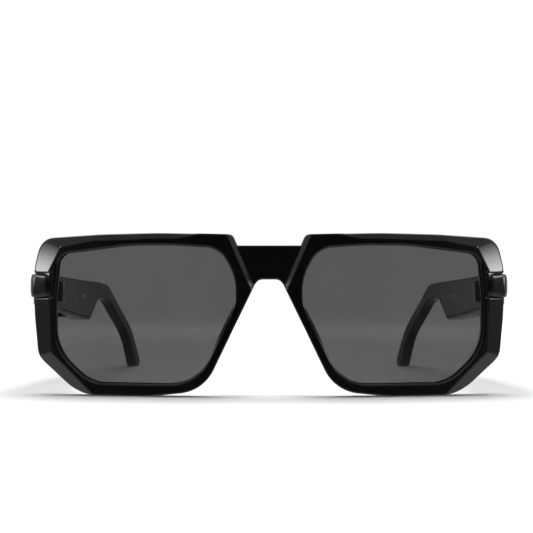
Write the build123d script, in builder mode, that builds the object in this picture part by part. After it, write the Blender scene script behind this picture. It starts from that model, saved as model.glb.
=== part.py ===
from build123d import *
import os
from math import asin, cos, radians, sin, sqrt

# Smart glasses: a faceted front with two tinted lenses and two folding temples that hold the
# electronics. Millimetres. +Z is up, the front faces -Y, the temples run back along +Y, and +X is
# the wearer's left. The glasses stand on the rims' low edges and the ear tips at Z = 0, with the
# origin under the middle of the whole object. Every left part is modelled, then mirrored.

os.makedirs("parts", exist_ok=True)

# ---------------------------------------------------------------- driving dimensions
# Front
lens_width = 56.2            # opening, nasal edge to temporal edge
lens_height = 42.85          # opening, low edge to top edge
lens_gap = 20.4              # between the two openings across the nose
rim_low = 3.8                # rim below the opening
rim_top = 3.95               # rim above the opening
rim_side = 8.35              # rim outside the opening
rim_depth = 5.0              # front face to back face
front_radius = 340.0         # wrap of the front, seen from above
tilt = 3.0                   # degrees the front's top leans forward
bridge_drop = 0.05           # bridge's upper edge under the openings' top edges
bridge_height = 10.5         # bridge's upper edge to the top of the nose arch
bridge_setback = 1.4         # bridge's face behind the rims' faces
bridge_depth = 3.2
arch_flat = 3.8              # width of the flat top of the nose arch
arch_radius = 2.5
nose_rest_depth = 4.5        # how far the nose rests stand back from the rims
nose_rest_width = 3.2

# Lenses
lens_radius = 240.0          # front curve
lens_thickness = 1.8
lens_setback = 0.4           # lens middle behind the rim's face
opening_wide = 0.75          # opening's outer side beyond the lens width
groove = 0.8                 # how far the lens runs into the rim
lens_clearance = 0.05

# Facets: degrees from the plane of the front
top_facet = 42.0
corner_facet = 34.0
side_facet = 36.0
nose_facet = 42.0

# End pieces and their bands
hinge_height = 32.6          # middle of the hinge leaves over the floor
endpiece_under = 5.2         # end piece below the hinge's middle
endpiece_over = 5.3          # and above it
endpiece_proud = 0.38        # joint face behind the rim's outer back edge
endpiece_inset = 0.9         # inner side outside the opening
band_height = 6.7
band_drop = 0.5              # band's upper edge under the end piece's
band_proud = 1.45            # band over the rim's side
band_floor = 0.85            # channel under the rim's side
band_start = 1.65            # band's inner end outside the opening
band_fillet = 0.7

# Hinges
joint_gap = 0.3              # end piece to temple
barrel_radius = 1.4
barrel_clear = 0.1           # between a barrel and the temple's inner face plane
pin_radius = 0.6
pin_play = 0.05
pin_head_radius = 1.0
pin_head = 0.5
knuckle = 2.1                # height of each of the front leaf's two knuckles
knuckle_gap = 0.1
leaf = 1.0                   # thickness of both leaves
leaf_height = 6.6
leaf_edge = 0.8              # front leaf's outer end inside the channel's floor
leaf_reach = 9.5             # temple leaf from the axis backwards
screw_radius = 0.55
screw_head_radius = 0.95
screw_head = 0.45
screw_slot = 0.25            # width of the cross in a screw head
screw_slot_depth = 0.2
front_screw_length = 3.2
leaf_screw_length = 2.6
front_screw_spread = 3.2     # between the two screws of a front leaf

# Temples
temple_reach = 138.2         # ear tip behind the front's low edge
temple_thickness = 7.0
temple_drop = 0.7            # upper edge falls from the hinge to the arm
housing_front = 10.8         # height of the housing at the hinge
housing_mid = 24.0           # where its underside turns, behind its front face
housing_mid_drop = 2.6       # underside there, below its front end
housing_drop = 4.4           # deepest point of the underside, below its front end
step_length = 11.5           # the underside's step up to the arm
step_end_drop = 0.6          # foot of the step below the arm's lower edge
step_to_arm = 5.7
arm_height = 6.1             # arm's depth where it starts
arm_thickness = 4.6
lean_start = 31.0            # the temples curve inwards from here, behind their front faces
lean_radius = 460.0
wall = 1.2
outer_wall = 1.6
edge_chamfer = 1.5           # height of the facets along the outer edges
facet_rise = 0.8             # their width for each millimetre of height
cover_thickness = 1.0
cover_lip = 1.0              # housing's edge seen round the cover
cover_play = 0.05
cover_gap = 0.2              # cover's front edge behind the hinge's barrel
cover_end_gap = 0.3          # cover's back edge before the end of the step
seal_width = 0.5
seal_height = 0.4
boss_radius = 1.2            # posts that take the hinge leaf's screws

# Arms
ear_start = 9.5              # from the housing to the bend over the ear
ear_height = 18.2            # upper edge of the arm above its tip
spigot_length = 5.0
spigot_inset = 1.2
spigot_play = 0.05
core_thickness = 1.0
core_inset = 2.0

# Electronics, in each temple
seat_play = 0.05             # between a part and the wall it lies against
battery_gap = 3.6            # from the hinge leaf
battery_length = 18.5
battery_height = 8.1
battery_drop = 2.1           # battery's upper edge below the temple's
board_gap = 1.5              # from the battery
board_length = 16.5
board_height = 9.2
board_drop = 0.4             # board's upper edge below the battery's
board_thickness = 0.8
board_stand = 0.6            # board's face off the outer wall
board_end_gap = 1.0          # from the end of the hollow
chip = 0.9
speaker_gap = 4.5            # from the board's front edge
speaker_length = 10.0
speaker_clear = 0.15         # between the speaker and the board
speaker_height = 3.6
speaker_rise = 2.15          # speaker's underside over the housing's lower edge at its middle
slot_count = 4
slot_share = 0.72            # a slot's width along the temple, as a share of its length across
slot_pitch = 2.2
slot_margin = 0.3            # slots inside the speaker's sides
mesh_thickness = 0.3
mic_setback = 8.0            # microphone behind the temple's front face
mic_port = 0.4
mic_size = 2.6
contact_radius = 0.9
contact_pitch = 4.0
contact_gap = 8.5            # contacts behind the board's front edge
contact_drop = 1.1           # contacts below the hinge's middle
magnet_radius = 1.5
magnet_thickness = 1.2
magnet_pitch = 10.5
light_gap = 1.5              # light pipe behind the board's front edge
light_rise = 2.5             # light pipe over the contacts
light_radius = 0.5
sensor_length = 20.0
sensor_height = 6.0
sensor_thickness = 0.3
antenna_length = 12.0
antenna_width = 2.6
antenna_gap = 0.15           # antenna over the board's edge

# Button, in the right temple's underside
button_setback = 24.0        # button behind the temple's front face
button_length = 7.0
button_width = 2.2
button_travel = 0.35
button_play = 0.12
button_proud = 0.45
button_edge = 0.35
button_side = 0.2            # button outside the temple's middle
flange = 0.4                 # button's lip inside the housing
flange_height = 0.5
button_floor = 1.1           # wall left under the button's lip
switch_length = 3.4
switch_width = 2.2

# ---------------------------------------------------------------- sizes that follow
lean_forward = (lens_height + rim_low + rim_top) * sin(radians(tilt))
front_y = -(temple_reach - lean_forward) / 2
nasal = lens_gap / 2
temporal = nasal + lens_width
rim_outer = temporal + rim_side
bridge_top = rim_low + lens_height - bridge_drop
bridge_low = bridge_top - bridge_height
leaf_low = hinge_height - leaf_height / 2
leaf_high = hinge_height + leaf_height / 2
endpiece_low = hinge_height - endpiece_under
endpiece_high = hinge_height + endpiece_over
band_high = endpiece_high - band_drop
band_low = band_high - band_height


def lens_at(across, up, dx=0.0, dz=0.0):
    """A point by its share of the opening's width and height, moved by dx and dz."""
    return (nasal + across * lens_width + dx, rim_low + up * lens_height + dz)


def wrap(u):
    """How far the front face lies behind its middle at the distance u from the middle."""
    return front_radius - sqrt(front_radius ** 2 - u ** 2)


# Distances behind the front's low edge.
endpiece_back = wrap(rim_outer) + rim_depth + endpiece_proud
temple_front = endpiece_back + joint_gap
axis_y = temple_front + barrel_radius
cover_start = axis_y + barrel_radius + cover_gap
cavity_front = temple_front + wall
battery_start = axis_y + leaf_reach + battery_gap
board_start = battery_start + battery_length + board_gap
board_end = board_start + board_length
speaker_start = board_start + speaker_gap
contact_at = board_start + contact_gap
light_at = board_start + light_gap
mic_at = temple_front + mic_setback
button_at = temple_front + button_setback
cavity_back = board_end + board_end_gap
housing_turn = temple_front + housing_mid
housing_deep = cavity_back - 4.0
taper_start = housing_deep
step_start = cavity_back + 0.8
step_end = step_start + step_length
cover_end = step_end - cover_end_gap
arm_start = step_end + step_to_arm
ear_bend = arm_start + ear_start
lean_from = temple_front + lean_start

# Across.
temple_outer = rim_outer + band_proud
temple_inner = temple_outer - temple_thickness
cavity_inner = temple_inner + cover_thickness + seal_height
cavity_outer = temple_outer - outer_wall
axis_x = temple_inner - barrel_radius - barrel_clear
battery_thickness = cavity_outer - sensor_thickness - cavity_inner - 2 * seat_play
board_x = cavity_outer - board_stand - board_thickness
speaker_width = board_x - speaker_clear - seat_play - cavity_inner
slot_across = speaker_width - 2 * slot_margin
slot_along = slot_across * slot_share

# Heights.
temple_top = endpiece_high
arm_top = temple_top - temple_drop
arm_low = arm_top - arm_height
housing_front_low = temple_top - housing_front
housing_mid_low = housing_front_low - housing_mid_drop
housing_low = housing_front_low - housing_drop
battery_high = temple_top - battery_drop
battery_low = battery_high - battery_height
board_high = battery_high - board_drop
board_low = board_high - board_height
contact_z = hinge_height - contact_drop
light_z = contact_z + light_rise


rim_lift = -wrap(lens_at(0.477, 0)[0]) * sin(radians(tilt))
front_plane = Plane(
    origin=(0, front_y, rim_lift),
    x_dir=(1, 0, 0),
    z_dir=(0, -cos(radians(tilt)), -sin(radians(tilt))),
)

opening_corners = [
    (lens_at(0.089, 0.979), 8.0),
    (lens_at(-0.0356, 0.683), 16.0),
    (lens_at(0.2135, 0.0), 13.5),
    (lens_at(0.813, 0.0), 12.0),
    (lens_at(1.0, 0.24, opening_wide), 15.5),
    (lens_at(1.0, 0.635, opening_wide), 60.0),
    (lens_at(0.9786, 0.9346, opening_wide), 4.2),
    (lens_at(0.5836, 0.9988), 60.0),
    (lens_at(0.352, 1.0), 60.0),
]
rim_corners = [
    (lens_at(0, 1, 1.0, rim_top - 0.55), 1.6),
    (lens_at(0, 0.69, -5.8, 1.08), 1.2),
    (lens_at(0.2135, 0, -2.1, 1.95 - rim_low), 13.0),
    (lens_at(0.477, 0, 0, -rim_low), 60.0),
    (lens_at(0.813, 0, 4.0, -rim_low), 16.0),
    (lens_at(1, 0.233, rim_side - 1.4, -2.3), 7.0),
    (lens_at(1, 0.495, rim_side), 60.0),
    (lens_at(1, 0.833, rim_side), 25.0),
    (lens_at(1, 1, rim_side - 2.1, rim_top - 1.5), 6.0),
    (lens_at(0.7438, 1, 0, rim_top - 0.35), 150.0),
    (lens_at(0.4235, 1, 0, rim_top), 150.0),
]
# Each crease: where a facet leaves the front face, and the facet's slope.
creases = [
    (lens_at(1, 1, -1.45, -0.4), lens_at(0.79, 1, 0, 1.55), top_facet),
    (lens_at(0.79, 1, 0, 1.55), lens_at(0.48, 1, 0, 2.15), top_facet),
    (lens_at(0.48, 1, 0, 2.15), lens_at(0.3025, 1, 0, 2.2), top_facet),
    (lens_at(1, 1, -1.45, -0.5), lens_at(1, 0.811, 2.6), corner_facet),
    (lens_at(1, 0.6243, 2.75), lens_at(1, 0.2182, 2.0), side_facet),
    (lens_at(1, 0.2182, 2.0), lens_at(0.813, 0, 1.25, -1.35), side_facet),
    (lens_at(0, 1, 1.96, 1.45), lens_at(0, 0.685, -4.54), nose_facet),
]


def outline(corners, inset=0.0):
    """A face inside straight runs joined by tangent arcs, moved in by inset all round.

    Each corner is a point and the radius of its arc.
    """
    with BuildSketch() as face:
        with BuildLine():
            FilletPolyline(*[p for p, _ in corners], radius=[r for _, r in corners], close=True)
        make_face()
        if inset:
            offset(amount=-inset, mode=Mode.REPLACE)
    return face.sketch


def on_front(point):
    """The point of the front face over a point of the front plane, in that plane's frame."""
    return Vector(point[0], point[1], -wrap(point[0]))


def facet(start, end, slope):
    """The plane of a facet: through the crease, sloping back away from the lens."""
    a, b = on_front(start), on_front(end)
    along = (b - a).normalized()
    outward = along.cross(Vector(0, 0, 1)).normalized()
    middle = Vector(*lens_at(0.5, 0.5), 0)
    if outward.dot(a - middle) < 0:
        outward = outward * -1
    facing = outward.cross(along).normalized()
    if facing.Z < 0:
        facing = facing * -1
    normal = facing * cos(radians(slope)) + outward * sin(radians(slope))
    foot = front_plane.from_local_coords(a)
    return Plane(origin=foot, z_dir=front_plane.from_local_coords(a + normal) - foot)


def lean(offset, y):
    """The plan point at the distance y behind the front and offset outside the inner face."""
    if y <= lean_from:
        return (temple_inner + offset, front_y + y)
    angle = asin((y - lean_from) / lean_radius)
    reach = lean_radius + offset
    return (
        temple_inner - lean_radius + reach * cos(angle),
        front_y + lean_from + reach * sin(angle),
    )


def strip(start, end, near, far, far_end=None):
    """The plan between the offsets near and far of the temple's inner face.

    The far side tapers to far_end from where the temple starts to thin.
    """
    far_end = far if far_end is None else far_end
    middle = (lean_from + end) / 2
    with BuildSketch() as face:
        with BuildLine():
            Line(lean(near, start), lean(near, lean_from))
            ThreePointArc(lean(near, lean_from), lean(near, middle), lean(near, end))
            Line(lean(near, end), lean(far_end, end))
            if far_end == far:
                ThreePointArc(lean(far, end), lean(far, middle), lean(far, lean_from))
            else:
                Line(lean(far_end, end), lean(far, taper_start))
                ThreePointArc(
                    lean(far, taper_start),
                    lean(far, (lean_from + taper_start) / 2),
                    lean(far, lean_from),
                )
            Line(lean(far, lean_from), lean(far, start))
            Line(lean(far, start), lean(near, start))
        make_face()
    return face.sketch


def at(y, z):
    """A point of a temple's side view: y behind the front's low edge, z over the floor."""
    return (front_y + y, z)


housing_corners = [
    (at(temple_front, temple_top), 0.6),
    (at(arm_start, arm_top), 0),
    (at(arm_start, arm_low), 0),
    (at(step_end, arm_low - step_end_drop), 4.0),
    (at(step_start, housing_low), 3.0),
    (at(housing_deep, housing_low), 5.0),
    (at(housing_turn, housing_mid_low), 100.0),
    (at(temple_front, housing_front_low), 0.6),
]
arm_corners = [
    (at(arm_start, arm_top), 0),
    (at(ear_bend, arm_top - 0.3), 32.0),
    (at(temple_reach - 12.2, ear_height), 40.0),
    (at(temple_reach + 0.6, 2.6), 2.9),
    (at(temple_reach - 2.0, 0), 2.0),
    (at(temple_reach - 6.4, 0), 1.5),
    (at(temple_reach - 15.2, ear_height - 4.0), 40.0),
    (at(ear_bend + 2.5, arm_low - 1.2), 35.0),
    (at(arm_start, arm_low), 0),
]


def underside(y):
    """The height of the housing's lower edge at y, between the hinge and the deepest point."""
    if y < housing_turn:
        share = (y - temple_front) / (housing_turn - temple_front)
        return housing_front_low + share * (housing_mid_low - housing_front_low)
    share = (y - housing_turn) / (housing_deep - housing_turn)
    return housing_mid_low + share * (housing_low - housing_mid_low)


def save(name, part):
    """Labels a finished piece and writes it."""
    part.label = name
    export_step(part, f"parts/{name}.step")


def save_pair(name, part):
    """Writes a left piece and its mirror image for the right."""
    save(f"{name}_left", part)
    save(f"{name}_right", mirror(part, about=Plane.YZ))


def lens_middle(depth):
    """The centre of a lens surface that lies depth behind the rim's face at its middle."""
    u, v = lens_at(0.5, 0.5)
    normal = Vector(u, 0, sqrt(front_radius ** 2 - u ** 2)) / front_radius
    return front_plane.from_local_coords(on_front((u, v)) - normal * (lens_radius + depth))


# ---------------------------------------------------------------- lenses
def lens_block(grow, extra):
    """A lens, grown by grow round its edge and by extra on each face."""
    edge = outline(opening_corners, -groove - grow)
    with BuildPart() as block:
        with BuildSketch(front_plane.offset(2)):
            add(edge)
        extrude(amount=-30)
        with Locations(lens_middle(lens_setback)):
            Sphere(lens_radius + extra, mode=Mode.INTERSECT)
            Sphere(lens_radius - lens_thickness - extra, mode=Mode.SUBTRACT)
    return block.part


save_pair("lens", lens_block(-lens_clearance, -lens_clearance))

# ---------------------------------------------------------------- end piece bands
# Both plans run from the band's inner end round the corner to the joint face. Y is given from
# the front face at the opening's edge, or from the joint face.
band_x = temporal + band_start
band_y = front_y + wrap(band_x)
leaf_y = front_y + endpiece_back
band_outer = [
    ((band_x, band_y - 0.93), 1.0),
    ((band_x + 2.4, band_y - 0.73), 3.0),
    ((rim_outer + 0.15, leaf_y - 5.5), 2.5),
    ((temple_outer, leaf_y - 3.3), 2.0),
    ((temple_outer, leaf_y), 0),
]
band_inner = [
    ((rim_outer - band_floor, leaf_y), 0),
    ((rim_outer - band_floor, leaf_y - 3.1), 1.5),
    ((band_x + 2.0, band_y + 1.07), 3.0),
    ((band_x, band_y + 0.77), 0),
]
band_back = [((band_x, leaf_y), 0)]
band_plan = outline(band_outer + band_back)
band_core = outline(band_inner + band_back)
with BuildPart() as endpiece_band:
    with BuildSketch(Plane.XY.offset(band_low)):
        add(band_plan)
    extrude(amount=band_high - band_low)
    levels = endpiece_band.faces().filter_by(Axis.Z)
    seen = ShapeList(
        edge
        for edge in levels.edges()
        if edge.center().Y < leaf_y - 0.1 and edge.center().X > band_x + 0.1
    )
    fillet(seen, band_fillet)
    with BuildSketch(Plane.XY.offset(band_low)):
        add(band_core)
    extrude(amount=band_high - band_low, mode=Mode.SUBTRACT)
save_pair("endpiece_band", endpiece_band.part)

# ---------------------------------------------------------------- hinge: front leaf
knuckle_levels = [leaf_low, leaf_high - knuckle]
leaf_outer = rim_outer - band_floor - leaf_edge
with BuildPart() as hinge_front_leaf:
    with BuildSketch(Plane.XY.offset(leaf_low)):
        with BuildLine():
            Polyline(
                (axis_x - barrel_radius, leaf_y - leaf),
                (leaf_outer, leaf_y - leaf),
                (leaf_outer, leaf_y),
                (axis_x - barrel_radius, leaf_y),
                close=True,
            )
        make_face()
    extrude(amount=leaf_high - leaf_low)
    for level in knuckle_levels:
        with BuildSketch(Plane.XY.offset(level)):
            with Locations((axis_x, front_y + axis_y)):
                Circle(barrel_radius)
            with Locations((axis_x, (leaf_y + front_y + axis_y) / 2)):
                Rectangle(2 * barrel_radius, front_y + axis_y - leaf_y)
        extrude(amount=knuckle)
    with BuildSketch(Plane.XY.offset(leaf_low)):
        with Locations((axis_x, front_y + axis_y)):
            Circle(pin_radius)
    extrude(amount=leaf_high - leaf_low, mode=Mode.SUBTRACT)
    with BuildSketch(Plane.XY.offset(leaf_high - pin_head)):
        with Locations((axis_x, front_y + axis_y)):
            Circle(pin_head_radius)
    extrude(amount=pin_head, mode=Mode.SUBTRACT)
    front_screw_x = (axis_x + barrel_radius + leaf_outer) / 2
    front_screw_z = [hinge_height - front_screw_spread / 2, hinge_height + front_screw_spread / 2]
    with BuildSketch(Plane.XZ.offset(-leaf_y)):
        with Locations(*[(front_screw_x, z) for z in front_screw_z]):
            Circle(screw_head_radius)
    extrude(amount=screw_head, mode=Mode.SUBTRACT)
    with BuildSketch(Plane.XZ.offset(-leaf_y)):
        with Locations(*[(front_screw_x, z) for z in front_screw_z]):
            Circle(screw_radius)
    extrude(amount=leaf, mode=Mode.SUBTRACT)
save_pair("hinge_front_leaf", hinge_front_leaf.part)

with BuildPart() as front_leaf_screws:
    with BuildSketch(Plane.XZ.offset(-leaf_y)):
        with Locations(*[(front_screw_x, z) for z in front_screw_z]):
            Circle(screw_head_radius)
    extrude(amount=screw_head)
    with BuildSketch(Plane.XZ.offset(-leaf_y)):
        with Locations(*[(front_screw_x, z) for z in front_screw_z]):
            Circle(screw_radius)
    extrude(amount=front_screw_length)
    with BuildSketch(Plane.XZ.offset(-leaf_y)):
        with Locations(*[(front_screw_x, z) for z in front_screw_z]):
            Rectangle(1.5 * screw_head_radius, screw_slot)
            Rectangle(screw_slot, 1.5 * screw_head_radius)
    extrude(amount=screw_slot_depth, mode=Mode.SUBTRACT)
save_pair("front_leaf_screws", front_leaf_screws.part)

with BuildPart() as hinge_pin:
    with BuildSketch(Plane.XY.offset(leaf_low)):
        with Locations((axis_x, front_y + axis_y)):
            Circle(pin_radius)
    extrude(amount=leaf_high - leaf_low)
    with BuildSketch(Plane.XY.offset(leaf_high - pin_head)):
        with Locations((axis_x, front_y + axis_y)):
            Circle(pin_head_radius)
    extrude(amount=pin_head)
    with BuildSketch(Plane.XY.offset(leaf_high)):
        with Locations((axis_x, front_y + axis_y)):
            Rectangle(1.5 * pin_head_radius, screw_slot)
    extrude(amount=-screw_slot_depth, mode=Mode.SUBTRACT)
save_pair("hinge_pin", hinge_pin.part)

# ---------------------------------------------------------------- front frame
nose_line = (Vector(*lens_at(0, 0.69, -5.8, 1.08)), Vector(*lens_at(0.2135, 0, -2.1, 1.95 - rim_low)))
nose_along = (nose_line[1] - nose_line[0]).normalized()
nose_out = Vector(-nose_along.Y, nose_along.X)
nose_run = (nose_line[1] - nose_line[0]).length

rim_face = outline(rim_corners)
opening_face = outline(opening_corners)
lens_groove = lens_block(0, 0)
with BuildPart() as front_frame:
    with BuildSketch(front_plane.offset(2)):
        add(rim_face)
    extrude(amount=-30)
    with BuildSketch(Plane(front_plane.from_local_coords((0, 0, -front_radius)), (1, 0, 0),
                           front_plane.y_dir)):
        Circle(front_radius)
        Circle(front_radius - rim_depth, mode=Mode.SUBTRACT)
    extrude(amount=2 * (lens_height + rim_low + rim_top), both=True, mode=Mode.INTERSECT)
    # Block behind the rim that carries the hinge.
    block_inner = temporal + endpiece_inset
    with BuildSketch(Plane.XY.offset(endpiece_low)):
        with BuildLine():
            Polyline(
                (block_inner, front_y + wrap(block_inner) + rim_depth / 2),
                (block_inner, leaf_y),
                (rim_outer, leaf_y),
                (rim_outer, front_y + wrap(rim_outer) + rim_depth / 3),
                close=True,
            )
        make_face()
    extrude(amount=endpiece_high - endpiece_low)
    for start, end, slope in creases:
        split(bisect_by=facet(start, end, slope), keep=Keep.BOTTOM)
    # Nose rest on the back of the nasal side, narrowing towards the face.
    with BuildSketch(front_plane.offset(-rim_depth + 1.0)):
        with BuildLine():
            near = nose_line[0] + nose_along * (0.12 * nose_run)
            far = nose_line[0] + nose_along * (0.72 * nose_run)
            FilletPolyline(
                (near.X, near.Y),
                (far.X, far.Y),
                tuple(far + nose_out * nose_rest_width)[:2],
                tuple(near + nose_out * nose_rest_width)[:2],
                radius=1.5,
                close=True,
            )
        make_face()
    extrude(amount=-nose_rest_depth - 1.0, taper=12)
    # Lens opening and its groove.
    with BuildSketch(front_plane.offset(2)):
        add(opening_face)
    extrude(amount=-30, mode=Mode.SUBTRACT)
    add(lens_groove, mode=Mode.SUBTRACT)
    # Channel for the band, and the pocket and screw holes of the hinge leaf.
    with BuildSketch(Plane.XY.offset(band_low)):
        with BuildLine():
            FilletPolyline(
                *[p for p, _ in band_inner],
                (band_x, front_y),
                (rim_outer + band_x, front_y),
                (rim_outer + band_x, leaf_y),
                radius=[r for _, r in band_inner] + [0, 0, 0],
                close=True,
            )
        make_face()
    extrude(amount=band_high - band_low, mode=Mode.SUBTRACT)
    with BuildSketch(Plane.XY.offset(leaf_low)):
        with BuildLine():
            Polyline(
                (axis_x - barrel_radius, leaf_y - leaf),
                (leaf_outer, leaf_y - leaf),
                (leaf_outer, leaf_y),
                (axis_x - barrel_radius, leaf_y),
                close=True,
            )
        make_face()
    extrude(amount=leaf_high - leaf_low, mode=Mode.SUBTRACT)
    with BuildSketch(Plane.XZ.offset(-leaf_y)):
        with Locations(*[(front_screw_x, z) for z in front_screw_z]):
            Circle(screw_radius)
    extrude(amount=front_screw_length, mode=Mode.SUBTRACT)
    mirror(about=Plane.YZ)
    # Bridge, set back between the two rims.
    with BuildSketch(front_plane.offset(-bridge_setback)):
        with BuildLine():
            FilletPolyline(
                (-nasal - 0.2, bridge_top),
                (nasal + 0.2, bridge_top),
                (nasal - 4.6, bridge_low - 2.0),
                (arch_flat / 2, bridge_low),
                (-arch_flat / 2, bridge_low),
                (4.6 - nasal, bridge_low - 2.0),
                radius=[0, 0, 0, arch_radius, arch_radius, 0],
                close=True,
            )
        make_face()
    extrude(amount=-bridge_depth)
save("front_frame", front_frame.part)

# ---------------------------------------------------------------- temple shells
housing_face = outline(housing_corners)
cover_face = outline(housing_corners, cover_lip + cover_play)
seat_face = outline(housing_corners, cover_lip)
seal_face = outline(housing_corners, cover_lip + seal_width)
cavity_face = outline(housing_corners, cover_lip + seal_width)
arm_face = outline(arm_corners)
temple_plan = strip(temple_front, arm_start, 0, temple_thickness, arm_thickness)
arm_plan = strip(temple_front, temple_reach + 10, 0, arm_thickness)
seat_plan = strip(temple_front - 1, arm_start, -2, cover_thickness + seal_height)
cover_plan = strip(cover_start, cover_end, 0, cover_thickness)
seal_plan = strip(cover_start, cover_end, cover_thickness, cover_thickness + seal_height)
side_start = Plane.YZ.offset(temple_inner - 2 * temple_thickness)
side_depth = 4 * temple_thickness


def between(start, end):
    """A tall block over the plan from start to end behind the front, as wide as a temple."""
    with BuildPart() as block:
        with BuildSketch(Plane.XY):
            with Locations((temple_inner, front_y + (start + end) / 2)):
                Rectangle(6 * temple_thickness, end - start)
        extrude(amount=2 * temple_top)
    return block.part


def side_solid(face, plan):
    """The solid that fills face seen from the side and plan seen from above."""
    with BuildPart() as block:
        with BuildSketch(side_start):
            add(face)
        extrude(amount=side_depth)
        with BuildSketch(Plane.XY):
            add(plan)
        extrude(amount=2 * temple_top, mode=Mode.INTERSECT)
    return block.part


def edge_facet(first, last, last_y, up):
    """The plane that takes off the housing's outer edge, above it (up 1) or below it (up -1)."""
    along = Vector(0, last_y - temple_front, last - first).normalized()
    normal = Vector(1, 0, 0) + along.cross(Vector(-up, 0, 0)) * facet_rise
    foot = Vector(temple_outer - edge_chamfer * facet_rise, front_y + temple_front, first)
    return Plane(origin=foot, z_dir=normal)


slot_span = (slot_count - 1) * slot_pitch
speaker_y = front_y + speaker_start + speaker_length / 2
slot_x = temple_inner + cover_thickness + seal_height + speaker_width / 2
speaker_low = underside(speaker_start + speaker_length / 2) + speaker_rise
slot_places = [
    (slot_x, speaker_y + i * slot_pitch - slot_span / 2) for i in range(slot_count)
]
mic_x = temple_outer - outer_wall - mic_size / 2 - 0.1
mic_low = underside(mic_at) + cover_lip + seal_width + mesh_thickness
button_x = temple_inner + temple_thickness / 2 + button_side
button_seat = underside(button_at) + button_floor
bay = between(cavity_front, cavity_back)

with BuildPart() as cavity:
    with BuildSketch(Plane.YZ.offset(temple_inner - temple_thickness)):
        add(cavity_face)
    extrude(amount=cavity_outer - temple_inner + temple_thickness)
    add(bay, mode=Mode.INTERSECT)

cover_seat = side_solid(seat_face, seat_plan)
cover_blank = side_solid(cover_face, cover_plan)
seal_blank = side_solid(cover_face, seal_plan)
seal_window_plan = strip(
    cover_start + seal_width, cover_end - seal_width, cover_thickness, cover_thickness + seal_height
)
seal_window = side_solid(seal_face, seal_window_plan)
spigot_corners = [
    (at(arm_start - spigot_length, arm_top - spigot_inset), 0.5),
    (at(arm_start + 1, arm_top - spigot_inset), 0),
    (at(arm_start + 1, arm_low + spigot_inset), 0),
    (at(arm_start - spigot_length, arm_low + spigot_inset), 0.5),
]
spigot_face = outline(spigot_corners)
contact_plan = strip(temple_front, cavity_back, 0, cover_thickness + seal_height + 0.2)
spigot_plan = strip(temple_front, arm_start + 1, spigot_inset, arm_thickness - spigot_inset)
spigot_blank = side_solid(spigot_face, spigot_plan)
leaf_slot_z = (leaf_low + leaf_high) / 2
inner_level = leaf_low + knuckle + knuckle_gap
inner_height = leaf_high - leaf_low - 2 * (knuckle + knuckle_gap)
leaf_x = cavity_inner
hinge_y = front_y + axis_y
leaf_screw_y = [hinge_y + 4.2, hinge_y + leaf_reach - 1.8]

with BuildPart() as housing:
    add(side_solid(housing_face, temple_plan))
    split(bisect_by=edge_facet(temple_top, arm_top, arm_start, 1), keep=Keep.BOTTOM)
    split(bisect_by=edge_facet(housing_front_low, housing_low, housing_deep, -1), keep=Keep.BOTTOM)
    add(cavity.part, mode=Mode.SUBTRACT)
    add(cover_seat & between(cover_start - cover_play, cover_end + 0.2), mode=Mode.SUBTRACT)
    add(spigot_blank, mode=Mode.SUBTRACT)
    # Posts for the hinge leaf's screws.
    with BuildSketch(Plane.YZ.offset(leaf_x + leaf)):
        with Locations(*[(y, leaf_slot_z) for y in leaf_screw_y]):
            Circle(boss_radius)
    extrude(amount=cavity_outer - leaf_x - leaf)
    with BuildSketch(Plane.YZ.offset(leaf_x + leaf)):
        with Locations(*[(y, leaf_slot_z) for y in leaf_screw_y]):
            Circle(screw_radius)
    extrude(amount=leaf_screw_length - leaf, mode=Mode.SUBTRACT)
    # Notch in the front wall that the hinge leaf comes through.
    with BuildSketch(Plane.XY.offset(inner_level - knuckle_gap)):
        with Locations((temple_inner, front_y + temple_front)):
            Rectangle(
                2 * (leaf_x + leaf - temple_inner),
                2 * (cover_start + 0.5 - temple_front),
            )
    extrude(amount=inner_height + 2 * knuckle_gap, mode=Mode.SUBTRACT)
    # Speaker slots and the microphone's port, down through the lower wall.
    with BuildSketch(Plane.XY):
        with Locations(*slot_places):
            SlotOverall(slot_across, slot_along)
        with Locations((mic_x, front_y + mic_at)):
            Circle(mic_port)
    extrude(amount=mic_low, mode=Mode.SUBTRACT)
save("housing_left", housing.part)

with BuildPart() as housing_right:
    mirror(housing.part, about=Plane.YZ, mode=Mode.ADD)
    with BuildSketch(Plane.XY):
        with Locations((-button_x, front_y + button_at)):
            SlotOverall(
                button_length + 2 * button_play, button_width + 2 * button_play, rotation=90
            )
    extrude(amount=button_seat, mode=Mode.SUBTRACT)
    with BuildSketch(Plane.XY.offset(button_seat)):
        with Locations((-button_x, front_y + button_at)):
            SlotOverall(
                button_length + 2 * (flange + button_play),
                button_width + 2 * (flange + button_play),
                rotation=90,
            )
    extrude(amount=flange_height + button_travel, mode=Mode.SUBTRACT)
save("housing_right", housing_right.part)

light_x = cavity_outer - board_stand - board_thickness - chip
contact_places = [
    (front_y + contact_at - contact_pitch / 2, contact_z),
    (front_y + contact_at + contact_pitch / 2, contact_z),
]
magnet_places = [
    (front_y + contact_at - magnet_pitch / 2, contact_z),
    (front_y + contact_at + magnet_pitch / 2, contact_z),
]
with BuildPart() as inner_cover:
    add(cover_blank)
    with BuildSketch(side_start):
        with Locations(*contact_places):
            Circle(contact_radius)
        with Locations((front_y + light_at, light_z)):
            Circle(light_radius)
    extrude(amount=side_depth, mode=Mode.SUBTRACT)
save_pair("inner_cover", inner_cover.part)

with BuildPart() as cover_seal:
    add(seal_blank)
    add(seal_window, mode=Mode.SUBTRACT)
save_pair("cover_seal", cover_seal.part)

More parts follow.
